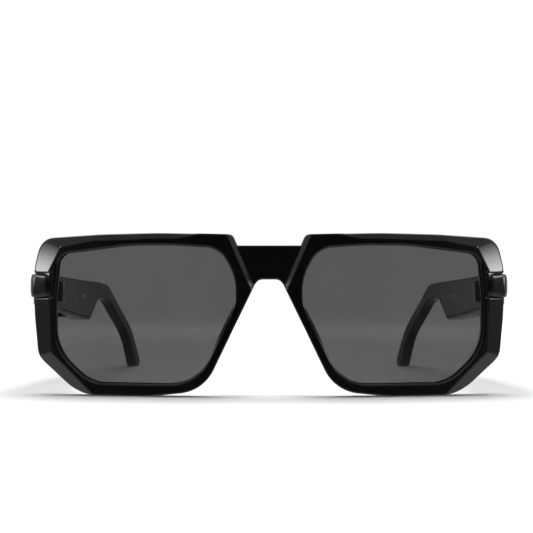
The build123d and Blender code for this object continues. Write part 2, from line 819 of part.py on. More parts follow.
# ---------------------------------------------------------------- hinge: temple leaf
with BuildPart() as hinge_temple_leaf:
    with BuildSketch(Plane.XY.offset(inner_level)):
        with Locations((axis_x, hinge_y)):
            Circle(barrel_radius)
        with Locations(((axis_x + leaf_x + leaf) / 2, hinge_y)):
            Rectangle(leaf_x + leaf - axis_x, leaf)
    extrude(amount=inner_height)
    with BuildSketch(Plane.YZ.offset(leaf_x)):
        with Locations((hinge_y + leaf_reach / 2 - leaf / 4, leaf_slot_z)):
            Rectangle(leaf_reach + leaf / 2, inner_height)
        with Locations((hinge_y + leaf_reach / 2 + 1.5, leaf_slot_z)):
            Rectangle(leaf_reach - 3, leaf_high - leaf_low - 0.6)
    extrude(amount=leaf)
    with BuildSketch(Plane.XY.offset(inner_level)):
        with Locations((axis_x, hinge_y)):
            Circle(pin_radius + pin_play)
    extrude(amount=inner_height, mode=Mode.SUBTRACT)
    with BuildSketch(Plane.YZ.offset(leaf_x)):
        with Locations(*[(y, leaf_slot_z) for y in leaf_screw_y]):
            Circle(screw_radius)
    extrude(amount=leaf, mode=Mode.SUBTRACT)
    with BuildSketch(Plane.YZ.offset(leaf_x)):
        with Locations(*[(y, leaf_slot_z) for y in leaf_screw_y]):
            Circle(screw_head_radius)
    extrude(amount=screw_head, mode=Mode.SUBTRACT)
save_pair("hinge_temple_leaf", hinge_temple_leaf.part)

with BuildPart() as temple_leaf_screws:
    with BuildSketch(Plane.YZ.offset(leaf_x)):
        with Locations(*[(y, leaf_slot_z) for y in leaf_screw_y]):
            Circle(screw_head_radius)
    extrude(amount=screw_head)
    with BuildSketch(Plane.YZ.offset(leaf_x)):
        with Locations(*[(y, leaf_slot_z) for y in leaf_screw_y]):
            Circle(screw_radius)
    extrude(amount=leaf_screw_length)
    with BuildSketch(Plane.YZ.offset(leaf_x)):
        with Locations(*[(y, leaf_slot_z) for y in leaf_screw_y]):
            Rectangle(1.5 * screw_head_radius, screw_slot)
            Rectangle(screw_slot, 1.5 * screw_head_radius)
    extrude(amount=screw_slot_depth, mode=Mode.SUBTRACT)
save_pair("temple_leaf_screws", temple_leaf_screws.part)

# ---------------------------------------------------------------- arms
spigot_tenon = side_solid(
    outline(spigot_corners, spigot_play),
    strip(
        temple_front,
        arm_start + 1,
        spigot_inset + spigot_play,
        arm_thickness - spigot_inset - spigot_play,
    ),
)
core_blank = side_solid(
    outline(arm_corners, core_inset),
    strip(
        temple_front,
        temple_reach,
        (arm_thickness - core_thickness) / 2,
        (arm_thickness + core_thickness) / 2,
    ),
)
with BuildPart() as arm:
    add(side_solid(arm_face, arm_plan))
    add(spigot_tenon)
    add(core_blank, mode=Mode.SUBTRACT)
save_pair("arm", arm.part)

with BuildPart() as arm_core:
    add(core_blank)
save_pair("arm_core", arm_core.part)

# ---------------------------------------------------------------- electronics
with BuildPart() as battery:
    with BuildSketch(Plane.YZ.offset(cavity_inner + seat_play)):
        with Locations(
            (front_y + battery_start + battery_length / 2, (battery_low + battery_high) / 2)
        ):
            RectangleRounded(battery_length, battery_high - battery_low, 0.8)
    extrude(amount=battery_thickness)
    fillet(battery.edges().filter_by(GeomType.LINE).filter_by(Axis.Y), 0.5)
save_pair("battery", battery.part)

with BuildPart() as circuit_board:
    with BuildSketch(Plane.YZ.offset(board_x)):
        with Locations((front_y + (board_start + board_end) / 2, (board_low + board_high) / 2)):
            RectangleRounded(board_end - board_start, board_high - board_low, 0.6)
    extrude(amount=board_thickness)
save_pair("circuit_board", circuit_board.part)

# Each chip's place, length and height, clear of the magnets and the speaker.
chips = [
    (board_start + 7.2, board_high - 3.2, 4.6, 4.6),
    (board_end - 2.8, board_high - 1.2, 3.0, 1.6),
    (light_at, light_z, 1.6, 1.6),
    (light_at + 0.2, board_low + 2.0, 2.4, 1.6),
]
with BuildPart() as board_chips:
    with BuildSketch(Plane.YZ.offset(board_x)):
        for y, z, length, height in chips:
            with Locations((front_y + y, z)):
                Rectangle(length, height)
    extrude(amount=-chip)
save_pair("board_chips", board_chips.part)

with BuildPart() as speaker:
    with BuildSketch(Plane.XY.offset(speaker_low)):
        with Locations((slot_x + seat_play, speaker_y)):
            RectangleRounded(speaker_width, speaker_length, 0.5)
    extrude(amount=speaker_height)
save_pair("speaker", speaker.part)

with BuildPart() as speaker_mesh:
    with BuildSketch(Plane.XY.offset(speaker_low)):
        with Locations((slot_x + seat_play, speaker_y)):
            Rectangle(speaker_width - 0.2, speaker_length - 1.0)
    extrude(amount=-mesh_thickness)
save_pair("speaker_mesh", speaker_mesh.part)

with BuildPart() as microphone:
    with BuildSketch(Plane.XY.offset(mic_low)):
        with Locations((mic_x, front_y + mic_at)):
            Rectangle(mic_size, mic_size)
    extrude(amount=1.0)
save_pair("microphone", microphone.part)

with BuildPart() as mic_mesh:
    with BuildSketch(Plane.XY.offset(mic_low)):
        with Locations((mic_x, front_y + mic_at)):
            Circle(0.8)
    extrude(amount=-mesh_thickness / 2)
save_pair("mic_mesh", mic_mesh.part)

with BuildPart() as charging_contacts:
    with BuildSketch(side_start):
        with Locations(*contact_places):
            Circle(contact_radius)
    extrude(amount=side_depth)
    with BuildSketch(Plane.XY):
        add(contact_plan)
    extrude(amount=2 * temple_top, mode=Mode.INTERSECT)
save_pair("charging_contacts", charging_contacts.part)

with BuildPart() as charging_magnets:
    with BuildSketch(Plane.YZ.offset(cavity_inner)):
        with Locations(*magnet_places):
            Circle(magnet_radius)
    extrude(amount=magnet_thickness)
save_pair("charging_magnets", charging_magnets.part)

with BuildPart() as light_pipe:
    with BuildSketch(Plane.YZ.offset(board_x - chip)):
        with Locations((front_y + light_at, light_z)):
            Circle(light_radius)
    extrude(amount=-2 * temple_thickness)
    with BuildSketch(Plane.XY):
        add(temple_plan)
    extrude(amount=2 * temple_top, mode=Mode.INTERSECT)
save_pair("light_pipe", light_pipe.part)

with BuildPart() as touch_sensor:
    with BuildSketch(Plane.YZ.offset(cavity_outer)):
        with Locations(
            (front_y + battery_start + sensor_length / 2, (battery_low + battery_high) / 2)
        ):
            RectangleRounded(sensor_length, sensor_height, 0.8)
    extrude(amount=-sensor_thickness)
save_pair("touch_sensor", touch_sensor.part)

with BuildPart() as antenna:
    with BuildSketch(Plane.XY.offset(board_high + antenna_gap)):
        with Locations(
            ((cavity_inner + cavity_outer) / 2, front_y + (board_start + board_end) / 2)
        ):
            Rectangle(antenna_width, antenna_length)
    extrude(amount=sensor_thickness)
save_pair("antenna", antenna.part)

# ---------------------------------------------------------------- button
button_top = button_seat + flange_height
with BuildPart() as multifunction_button:
    with BuildSketch(Plane.XY.offset(underside(button_at) - button_proud)):
        with Locations((-button_x, front_y + button_at)):
            SlotOverall(button_length, button_width, rotation=90)
    extrude(amount=button_floor + button_proud)
    fillet(multifunction_button.faces().sort_by(Axis.Z)[0].edges(), button_edge)
    with BuildSketch(Plane.XY.offset(button_seat)):
        with Locations((-button_x, front_y + button_at)):
            SlotOverall(button_length + 2 * flange, button_width + 2 * flange, rotation=90)
    extrude(amount=flange_height)
save("multifunction_button", multifunction_button.part)

switch_low = button_top + button_travel + seat_play
with BuildPart() as button_switch:
    with BuildSketch(Plane.XY.offset(switch_low)):
        with Locations((-button_x, front_y + button_at)):
            Rectangle(switch_width, switch_length)
    extrude(amount=battery_low - switch_low)
save("button_switch", button_switch.part)
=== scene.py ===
import logging
import math
from dataclasses import dataclass
from enum import Enum
from typing import Any, Callable

import bmesh
import bpy
import numpy as np
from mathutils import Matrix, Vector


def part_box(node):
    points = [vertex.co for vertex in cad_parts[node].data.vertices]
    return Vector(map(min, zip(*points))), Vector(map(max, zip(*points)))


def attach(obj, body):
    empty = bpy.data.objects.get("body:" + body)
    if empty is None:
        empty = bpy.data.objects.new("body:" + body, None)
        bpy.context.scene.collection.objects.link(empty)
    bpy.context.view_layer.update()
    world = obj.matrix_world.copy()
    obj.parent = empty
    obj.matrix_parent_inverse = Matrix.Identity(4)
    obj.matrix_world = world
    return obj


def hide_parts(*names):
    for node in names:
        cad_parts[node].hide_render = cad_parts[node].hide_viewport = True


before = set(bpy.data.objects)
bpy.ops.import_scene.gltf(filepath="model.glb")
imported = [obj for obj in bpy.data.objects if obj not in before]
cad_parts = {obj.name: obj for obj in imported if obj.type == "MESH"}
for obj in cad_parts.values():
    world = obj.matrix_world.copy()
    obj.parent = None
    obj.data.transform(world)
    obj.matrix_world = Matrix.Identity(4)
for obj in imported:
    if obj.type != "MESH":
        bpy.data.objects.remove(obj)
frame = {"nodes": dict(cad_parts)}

# Smart glasses. Sizes are in millimetres and become metres when a mesh is made. The left side
# (+X) is worked out first and the right side is its mirror image.

log = logging.getLogger("smart_glasses")
MM = 0.001
SHARP = 40.0  # edges that turn by more degrees than this shade as edges
Array = np.ndarray
Triple = tuple[float, float, float]
Corner = tuple[tuple[float, float], float]  # a corner's place and its radius


class Side(Enum):
    """The two sides of the glasses, as the wearer has them."""

    LEFT = 1
    RIGHT = -1

    @property
    def tag(self) -> str:
        """The ending of the side's node names."""
        return self.name.lower()


class Ends(Enum):
    """How the two ends of a lofted surface are closed."""

    FLAT = "flat"
    JOINED = "joined"


# ------------------------------------------------------------------ shader maths
class Sock:
    """A shader output that takes part in arithmetic; each operation adds one Math node."""

    def __init__(self, shader: "Shader", socket: bpy.types.NodeSocket) -> None:
        """Wraps a socket of one shader."""
        self.shader = shader
        self.socket = socket

    def __add__(self, other: Any) -> "Sock":
        """self + other."""
        return self.shader.math("ADD", self, other)

    __radd__ = __add__

    def __sub__(self, other: Any) -> "Sock":
        """self - other."""
        return self.shader.math("SUBTRACT", self, other)

    def __rsub__(self, other: Any) -> "Sock":
        """other - self."""
        return self.shader.math("SUBTRACT", other, self)

    def __mul__(self, other: Any) -> "Sock":
        """self * other."""
        return self.shader.math("MULTIPLY", self, other)


class Shader:
    """A material's or world's node tree."""

    def __init__(self, tree: bpy.types.NodeTree) -> None:
        """Empties the tree."""
        self.tree = tree
        tree.nodes.clear()

    def node(self, kind: str, inputs: dict[Any, Any] | None = None, output: int | str = 0,
             **settings: Any) -> Sock:
        """Adds a node.

        Args:
            kind: the node's type.
            inputs: values or links by the socket's name or number.
            output: the output that is wanted.
            settings: the node's properties, set before its inputs.

        Returns:
            The output, or the node's first input where it has no outputs.
        """
        made = self.tree.nodes.new(kind)
        for name, value in settings.items():
            setattr(made, name, value)
        for name, value in (inputs or {}).items():
            socket = made.inputs[name]
            if isinstance(value, Sock):
                self.tree.links.new(value.socket, socket)
            else:
                socket.default_value = value
        return Sock(self, made.outputs[output] if len(made.outputs) else made.inputs[0])

    def math(self, operation: str, *values: Any) -> Sock:
        """A Math node on values or links."""
        return self.node("ShaderNodeMath", dict(enumerate(values)), operation=operation)

    def principled(self, inputs: dict[str, Any]) -> Sock:
        """A Principled surface."""
        return self.node("ShaderNodeBsdfPrincipled", inputs)

    def place(self, stretch: Triple = (1.0, 1.0, 1.0)) -> Sock:
        """Object coordinates, stretched along the axes."""
        coordinates = self.node("ShaderNodeTexCoord", output="Object")
        return self.node("ShaderNodeMapping", {"Vector": coordinates, "Scale": stretch})

    def noise(self, scale: float, detail: float = 3.0,
              stretch: Triple = (1.0, 1.0, 1.0)) -> Sock:
        """Fractal noise, 0 to 1, with its features 1/scale metres apart."""
        inputs = {"Vector": self.place(stretch), "Scale": scale, "Detail": detail}
        return self.node("ShaderNodeTexNoise", inputs, noise_dimensions="3D")

    def ramp(self, value: Sock, low: float, high: float) -> Sock:
        """Black up to one level of the value, white from another, and greys between."""
        made = self.node("ShaderNodeValToRGB", {"Fac": value})
        black, white = made.socket.node.color_ramp.elements
        black.position, white.position = low, high
        return made

    def rise(self, value: Sock, low: float, high: float, start: float = 0.0,
             end: float = 1.0) -> Sock:
        """A smooth change from start, up to low, to end, from high."""
        inputs = {"Value": value, "From Min": low, "From Max": high, "To Min": start, "To Max": end}
        return self.node("ShaderNodeMapRange", inputs, interpolation_type="SMOOTHSTEP")

    def mix(self, share: Sock, first: Any, second: Any) -> Sock:
        """A colour between two colours; 6, 7 and output 2 are the node's colour sockets."""
        return self.node("ShaderNodeMix", {0: share, 6: first, 7: second}, 2, data_type="RGBA")

    def bump(self, height: Sock, depth: float) -> Sock:
        """A normal tipped by a height of 0 to 1 that stands depth metres high."""
        return self.node("ShaderNodeBump", {"Height": height, "Distance": depth, "Strength": 1.0})


def tinted(red: float, green: float, blue: float) -> tuple[float, float, float, float]:
    """An opaque colour."""
    return (red, green, blue, 1.0)


def grey(value: float) -> tuple[float, float, float, float]:
    """A neutral colour."""
    return tinted(value, value, value)


# ------------------------------------------------------------------ finishes
@dataclass(frozen=True)
class Finish:
    """A surface finish; each kind says how its nodes make it."""

    name: str

    def surface(self, shader: Shader) -> Sock:
        """The finish's shader."""
        raise NotImplementedError

    def material(self) -> bpy.types.Material:
        """The Blender material, made once."""
        found = bpy.data.materials.get(self.name)
        if found:
            return found
        made = bpy.data.materials.new(self.name)
        made.use_nodes = True
        shader = Shader(made.node_tree)
        shader.node("ShaderNodeOutputMaterial", {"Surface": self.surface(shader)})
        return made

    def dress(self, piece: bpy.types.Object) -> None:
        """Gives the material to every slot of a piece."""
        slots = piece.data.materials
        if not len(slots):
            slots.append(self.material())
        for index in range(len(slots)):
            slots[index] = self.material()


@dataclass(frozen=True)
class Polished(Finish):
    """Tumble-polished black plastic: deep colour, faint clouding, fine orange peel, soft smears."""

    tone: float = 0.0011
    gloss: float = 0.06
    smear: float = 0.07
    peel: float = 3.0e-6

    def surface(self, shader: Shader) -> Sock:
        """Colour, roughness and normal all vary slowly over the part."""
        smears = shader.ramp(shader.noise(95.0, 5.0, (1.0, 0.45, 1.6)), 0.42, 0.78)
        dust = shader.ramp(shader.noise(2600.0, 2.0), 0.62, 0.8)
        clouded = tinted(self.tone * 2.2, self.tone * 2.2, self.tone * 2.4)
        return shader.principled({
            "Base Color": shader.mix(shader.noise(160.0, 4.0), grey(self.tone), clouded),
            "Roughness": self.gloss + smears * self.smear + dust * 0.03,
            "IOR": 1.5,
            "Normal": shader.bump(shader.noise(420.0, 2.0), self.peel),
        })


@dataclass(frozen=True)
class Tint(Finish):
    """Neutral grey lens: each face lets part of the light straight through and is glossy."""

    through: float = 0.299
    gloss: float = 0.02

    def surface(self, shader: Shader) -> Sock:
        """A see-through share and a dark glossy share, with a faint wiping haze."""
        haze = shader.ramp(shader.noise(60.0, 4.0, (1.0, 1.0, 0.5)), 0.4, 0.9)
        gloss = shader.principled(
            {"Base Color": grey(0.004), "Roughness": self.gloss + haze * 0.02, "IOR": 1.5}
        )
        clear = shader.node("ShaderNodeBsdfTransparent", {"Color": grey(1.0)})
        dark = (1.0 - self.through) + haze * 0.012
        return shader.node("ShaderNodeMixShader", {0: dark, 1: clear, 2: gloss})


@dataclass(frozen=True)
class Metal(Finish):
    """Brushed, turned or plated metal with fine lines along one direction."""

    colour: Triple = (0.55, 0.55, 0.56)
    rough: float = 0.28
    lines: Triple = (1.0, 1.0, 18.0)
    depth: float = 4.0e-6
    metal: float = 1.0

    def surface(self, shader: Shader) -> Sock:
        """Lines vary the roughness and tip the normal; old handling dulls the colour."""
        lines = shader.noise(900.0, 3.0, self.lines)
        dull = tinted(*(c * 0.72 for c in self.colour))
        return shader.principled({
            "Base Color": shader.mix(shader.noise(700.0, 4.0), dull, tinted(*self.colour)),
            "Metallic": self.metal,
            "Roughness": self.rough - 0.08 + lines * 0.2,
            "Normal": shader.bump(lines, self.depth),
        })


@dataclass(frozen=True)
class Moulded(Finish):
    """Matt moulded or printed material with a fine grain and some variation of tone."""

    colour: Triple = (0.03, 0.03, 0.03)
    second: Triple = (0.05, 0.05, 0.05)
    rough: float = 0.55
    grain: float = 5000.0
    depth: float = 8.0e-6

    def surface(self, shader: Shader) -> Sock:
        """Grain tips the normal; a broad noise mixes the two tones."""
        grain = shader.noise(self.grain)
        return shader.principled({
            "Base Color": shader.mix(
                shader.noise(500.0), tinted(*self.colour), tinted(*self.second)
            ),
            "Roughness": self.rough + grain * 0.15,
            "Normal": shader.bump(grain, self.depth),
        })


@dataclass(frozen=True)
class Woven(Finish):
    """Fine steel cloth: two sets of wires cross; the holes between them are not cut but painted near
    black, as painted shade.
    """

    pitch: float = 0.00016

    def surface(self, shader: Shader) -> Sock:
        """Two wave textures make the wires' height, colour and normal; the colour is painted shade,
        near black where the wires are low.
        """
        inputs = {"Vector": shader.place(), "Scale": 0.5 / self.pitch / math.pi}
        height = shader.math("MAXIMUM", *(
            shader.node("ShaderNodeTexWave", inputs, "Fac", wave_type="BANDS",
                        bands_direction=direction)
            for direction in "XY"
        ))
        return shader.principled({
            # painted shade: the low ground between the wires is coloured near black to stand for the
            # holes
            "Base Color": shader.mix(height, grey(0.01), grey(0.42)),
            "Metallic": shader.ramp(height, 0.3, 0.5),
            "Roughness": 0.42 - height * 0.12,
            "Normal": shader.bump(height, self.pitch * 0.4),
        })


@dataclass(frozen=True)
class PaleFloor(Finish):
    """Matt white that glows more with distance, so that the floor runs out into white."""

    near: float = 0.1
    far: float = 0.7
    glow: float = 0.84

    def surface(self, shader: Shader) -> Sock:
        """The distance from the middle sets the glow; a grain varies the white."""
        spot = shader.node("ShaderNodeTexCoord", output="Object")
        away = shader.node("ShaderNodeVectorMath", {0: spot}, "Value", operation="LENGTH")
        grain = shader.noise(300.0)
        return shader.principled({
            "Base Color": shader.mix(grain, grey(0.88), grey(0.9)),
            "Roughness": 0.7 + grain * 0.1,
            "Specular IOR Level": 0.0,
            "Emission Color": shader.rise(away, self.near, self.far, 0.0, self.glow),
            "Emission Strength": 1.0,
        })


@dataclass(frozen=True)
class Glow(Finish):
    """Light that is even inside one radius round a point and gone at another, in metres."""

    middle: Triple
    full: float
    reach: float
    level: float

    def surface(self, shader: Shader) -> Sock:
        """The distance from the point sets the brightness."""
        spot = shader.node("ShaderNodeTexCoord", output="Object")
        away = shader.node(
            "ShaderNodeVectorMath", {0: spot, 1: self.middle}, "Value", operation="DISTANCE"
        )
        fade = shader.rise(away, self.full, self.reach, self.level, 0.0)
        return shader.node("ShaderNodeEmission", {"Color": fade, "Strength": 1.0})


GLOSS_FRONT = Polished("gloss_front")
GLOSS_BAND = Polished("gloss_band", gloss=0.16, peel=2.0e-6)
GLOSS_TEMPLE = Polished("gloss_temple", gloss=0.07)
GLOSS_COVER = Polished("gloss_cover", tone=0.004, gloss=0.12, smear=0.1)
GLOSS_ARM = Polished("gloss_arm", gloss=0.07)
LENS_TINT = Tint("lens_tint_grey")
HINGE_STEEL = Metal("hinge_steel", (0.62, 0.62, 0.63), 0.42, (14.0, 1.0, 1.0), metal=0.45)
SCREW_STEEL = Metal("screw_steel", (0.5, 0.5, 0.5), 0.3, (1.0, 1.0, 1.0))
STEEL_CLOTH = Woven("steel_cloth")

# The finish of every CAD node that stays in sight or inside, by its name without its side.
NODE_FINISHES: dict[str, Finish] = {
    "hinge_front_leaf": HINGE_STEEL,
    "hinge_temple_leaf": HINGE_STEEL,
    "front_leaf_screws": SCREW_STEEL,
    "temple_leaf_screws": SCREW_STEEL,
    "hinge_pin": Metal("pin_steel", (0.6, 0.6, 0.6), 0.22, (1.0, 1.0, 14.0)),
    "arm_core": Metal("core_steel", (0.6, 0.6, 0.6), 0.35, (1.0, 0.2, 1.0)),
    "cover_seal": Moulded("seal_rubber", (0.012, 0.012, 0.012), (0.02, 0.02, 0.02), 0.75),
    "battery": Metal("pouch_foil", (0.66, 0.66, 0.68), 0.34, (1.0, 6.0, 6.0), 2.0e-5),
    "circuit_board": Moulded(
        "board_mask", (0.008, 0.07, 0.03), (0.02, 0.12, 0.05), 0.3, 900.0, 2.0e-5
    ),
    "board_chips": Moulded("chip_epoxy", (0.02, 0.02, 0.02), (0.035, 0.035, 0.035), 0.6),
    "speaker": Moulded("speaker_body", (0.03, 0.03, 0.032), (0.045, 0.045, 0.045), 0.5),
    "speaker_mesh": STEEL_CLOTH,
    "mic_mesh": STEEL_CLOTH,
    "microphone": Metal("tinned_can", (0.7, 0.7, 0.7), 0.35),
    "charging_contacts": Metal("gold_contact", (0.9, 0.66, 0.3), 0.18, (1.0, 1.0, 1.0)),
    "charging_magnets": Metal("nickel_magnet", (0.72, 0.72, 0.7), 0.12, (1.0, 1.0, 1.0)),
    "light_pipe": Tint("clear_pipe", through=0.8, gloss=0.1),
    "touch_sensor": Moulded("sensor_film", (0.35, 0.17, 0.03), (0.45, 0.25, 0.06), 0.3, 1500.0),
    "antenna": Metal("copper_track", (0.85, 0.48, 0.3), 0.3),
    "multifunction_button": Polished("satin_button", tone=0.003, gloss=0.2, smear=0.06),
    "button_switch": Moulded("switch_body", (0.03, 0.03, 0.03), (0.05, 0.05, 0.05), 0.45),
}


# ------------------------------------------------------------------ surfaces
def in_mm(box: Any) -> Array:
    """A box's low and high corner in millimetres."""
    return np.array([list(corner) for corner in box]) / MM


def unit(vectors: Array) -> Array:
    """The vectors at length one."""
    return vectors / np.maximum(np.linalg.norm(vectors, axis=-1, keepdims=True), 1e-9)


def square_to(along: Array) -> Array:
    """Unit vectors square to vectors in a plane."""
    along = unit(along)
    return np.stack([along[:, 1], -along[:, 0]], 1)


def signed_power(value: Array, power: float) -> Array:
    """The value's sign times its size to a power, as superellipses use."""
    return np.sign(value) * np.abs(value) ** power


def smooth_step(value: Array, low: float, high: float) -> Array:
    """0 below low, 1 above high, and 3s^2 - 2s^3 between."""
    s = np.clip((value - low) / (high - low), 0.0, 1.0)
    return s * s * (3.0 - 2.0 * s)


def smooth_min(first: Array, second: Array, reach: float) -> Array:
    """The smaller value, with the crossing rounded by reach/4 (1 - |a-b|/reach)^2."""
    near = np.clip(1.0 - np.abs(first - second) / reach, 0.0, None)
    return np.minimum(first, second) - 0.25 * reach * near * near


def edge_drop(distance: Array, radius: float) -> Array:
    """How far a quarter-round edge has fallen at a distance from the face it runs into."""
    share = np.clip(1.0 - np.asarray(distance) / radius, 0.0, 1.0)
    return radius * (1.0 - np.sqrt(1.0 - share * share))


def sections(*corners: tuple[Any, Any]) -> Array:
    """Loops' corners, loops x corners x 2; a corner's two values are numbers or one per loop."""
    values = np.broadcast_arrays(*(value for corner in corners for value in corner))
    return np.stack(values, -1).reshape(len(values[0]), -1, 2)


def rounded_loops(corners: Array, radii: Array, steps: int, limit: float = 0.49) -> Array:
    """Polygons with circular corners.

    Each corner becomes a rational quadratic curve between its two tangent points, weighted by
    the sine of half its angle, which is a true arc.

    Args:
        corners: loops x corners x 2.
        radii: one radius per corner, or loops x corners.
        steps: points on each arc.
        limit: the largest share of an edge that one corner may use.

    Returns:
        loops x (corners * steps) x 2.
    """
    before = np.roll(corners, 1, axis=1) - corners
    after = np.roll(corners, -1, axis=1) - corners
    short = np.minimum(np.linalg.norm(before, axis=2), np.linalg.norm(after, axis=2))
    before, after = unit(before), unit(after)
    half = 0.5 * np.arccos(np.clip((before * after).sum(2), -1.0, 1.0))
    reach = np.asarray(radii) / np.tan(np.clip(half, 0.02, None))
    reach = np.minimum(reach, limit * short)[..., None]
    start, end = ((corners + way * reach)[:, :, None] for way in (before, after))
    s = np.linspace(0.0, 1.0, steps)[None, None, :, None]
    pull = 2.0 * s * (1.0 - s) * np.sin(half)[..., None, None]
    top = (1 - s) ** 2 * start + pull * corners[:, :, None] + s ** 2 * end
    return (top / ((1 - s) ** 2 + pull + s ** 2)).reshape(len(corners), -1, 2)


def resample(points: Array, shares: Array) -> Array:
    """Points at shares of a path's length."""
    steps = np.linalg.norm(np.diff(points, axis=0), axis=1)
    run = np.concatenate([[0.0], np.cumsum(steps)])
    wanted = np.asarray(shares) * run[-1]
    return np.stack([np.interp(wanted, run, points[:, k]) for k in range(points.shape[1])], 1)


def closed_outline(corners: list[Corner]) -> Array:
    """A dense closed outline from corners and their radii; its first point is its last."""
    points = np.array([p for p, _ in corners], float)[None]
    loop = rounded_loops(points, np.array([r for _, r in corners]), 32, 0.62)[0]
    return np.concatenate([loop, loop[:1]])


def open_path(corners: list[Corner]) -> Array:
    """A dense open path from corners and their radii; the two ends stay sharp."""
    points = np.array([p for p, _ in corners], float)
    radii = np.array([r for _, r in corners])
    radii[0] = radii[-1] = 0.0
    steps = 24
    loop = rounded_loops(points[None], radii, steps)[0].reshape(len(corners), steps, 2)
    return np.concatenate([loop[0, -1:], loop[1:-1].reshape(-1, 2), loop[-1, :1]])


def linked(name: str, data: Any) -> bpy.types.Object:
    """A new object with this data, linked to the scene."""
    made = bpy.data.objects.new(name, data)
    bpy.context.scene.collection.objects.link(made)
    return made


def plain_mesh(name: str, points: Array, faces: list[list[int]]) -> bpy.types.Mesh:
    """A mesh from points in metres and its faces."""
    mesh = bpy.data.meshes.new(name)
    mesh.from_pydata(points.reshape(-1, 3).tolist(), [], faces)
    return mesh


def shade(piece: bpy.types.Object, sharp: float) -> None:
    """Marks a piece's sharp edges and lets its larger faces lead its shading."""
    piece.data.set_sharp_from_angle(angle=math.radians(sharp))
    piece.modifiers.new("even_faces", "WEIGHTED_NORMAL").keep_sharp = True


def surface_piece(name: str, points: Array, side: Side = Side.LEFT, ends: Ends = Ends.FLAT,
                  sharp: float = SHARP) -> bpy.types.Object:
    """A closed, outward-facing mesh from rows of loops.

    Each row is a closed loop of points and neighbouring rows are joined by quads. The end rows
    are closed by one flat face each, or joined to each other.

    Args:
        name: the piece's name.
        points: rows x columns x 3, in millimetres.
        side: RIGHT mirrors the piece.
        ends: how the end rows are closed.
        sharp: edges turning by more degrees than this shade as edges.

    Returns:
        The object, at the origin, with its place in its mesh.
    """
    index = np.arange(points.shape[0] * points.shape[1]).reshape(points.shape[:2])
    lower, upper = index, np.roll(index, -1, axis=0)
    if ends is Ends.FLAT:
        lower, upper = lower[:-1], upper[:-1]
    quads = np.stack([lower, np.roll(lower, -1, axis=1), np.roll(upper, -1, axis=1), upper], -1)
    faces = quads.reshape(-1, 4).tolist()
    if ends is Ends.FLAT:
        faces += [index[0][::-1].tolist(), index[-1].tolist()]
    mesh = plain_mesh(name, points * MM * np.array([side.value, 1.0, 1.0]), faces)
    work = bmesh.new()
    work.from_mesh(mesh)
    bmesh.ops.remove_doubles(work, verts=work.verts, dist=2e-6)
    bmesh.ops.dissolve_degenerate(work, edges=work.edges, dist=1e-6)
    if work.calc_volume(signed=True) < 0:
        bmesh.ops.reverse_faces(work, faces=work.faces)
    for face in work.faces:
        face.smooth = True
    work.to_mesh(mesh)
    work.free()
    piece = linked(name, mesh)
    shade(piece, sharp)
    return piece


def cut(piece: bpy.types.Object, cutters: list[bpy.types.Object]) -> None:
    """Takes the cutters' solids out of a piece and removes the cutters.

    Args:
        piece: the piece, which keeps its place and name.
        cutters: closed pieces that each make one opening.
    """
    piece.modifiers.clear()
    for cutter in cutters:
        opening = piece.modifiers.new("opening", "BOOLEAN")
        opening.solver = "EXACT"
        opening.object = cutter
    graph = bpy.context.evaluated_depsgraph_get()
    made = bpy.data.meshes.new_from_object(piece.evaluated_get(graph))
    piece.modifiers.clear()
    whole, piece.data = piece.data, made
    bpy.data.meshes.remove(whole)
    for cutter in cutters:
        bpy.data.objects.remove(cutter)
    shade(piece, SHARP)


def settle(piece: bpy.types.Object, body: str, slot: str, finish: Finish, *nodes: str) -> None:
    """Dresses a new piece, rides it on its body and hides the CAD nodes it stands for."""
    finish.dress(piece)
    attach(piece, body)
    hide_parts(*nodes)
    log.info("%s: %d faces, on %s", piece.name, len(piece.data.polygons), body)


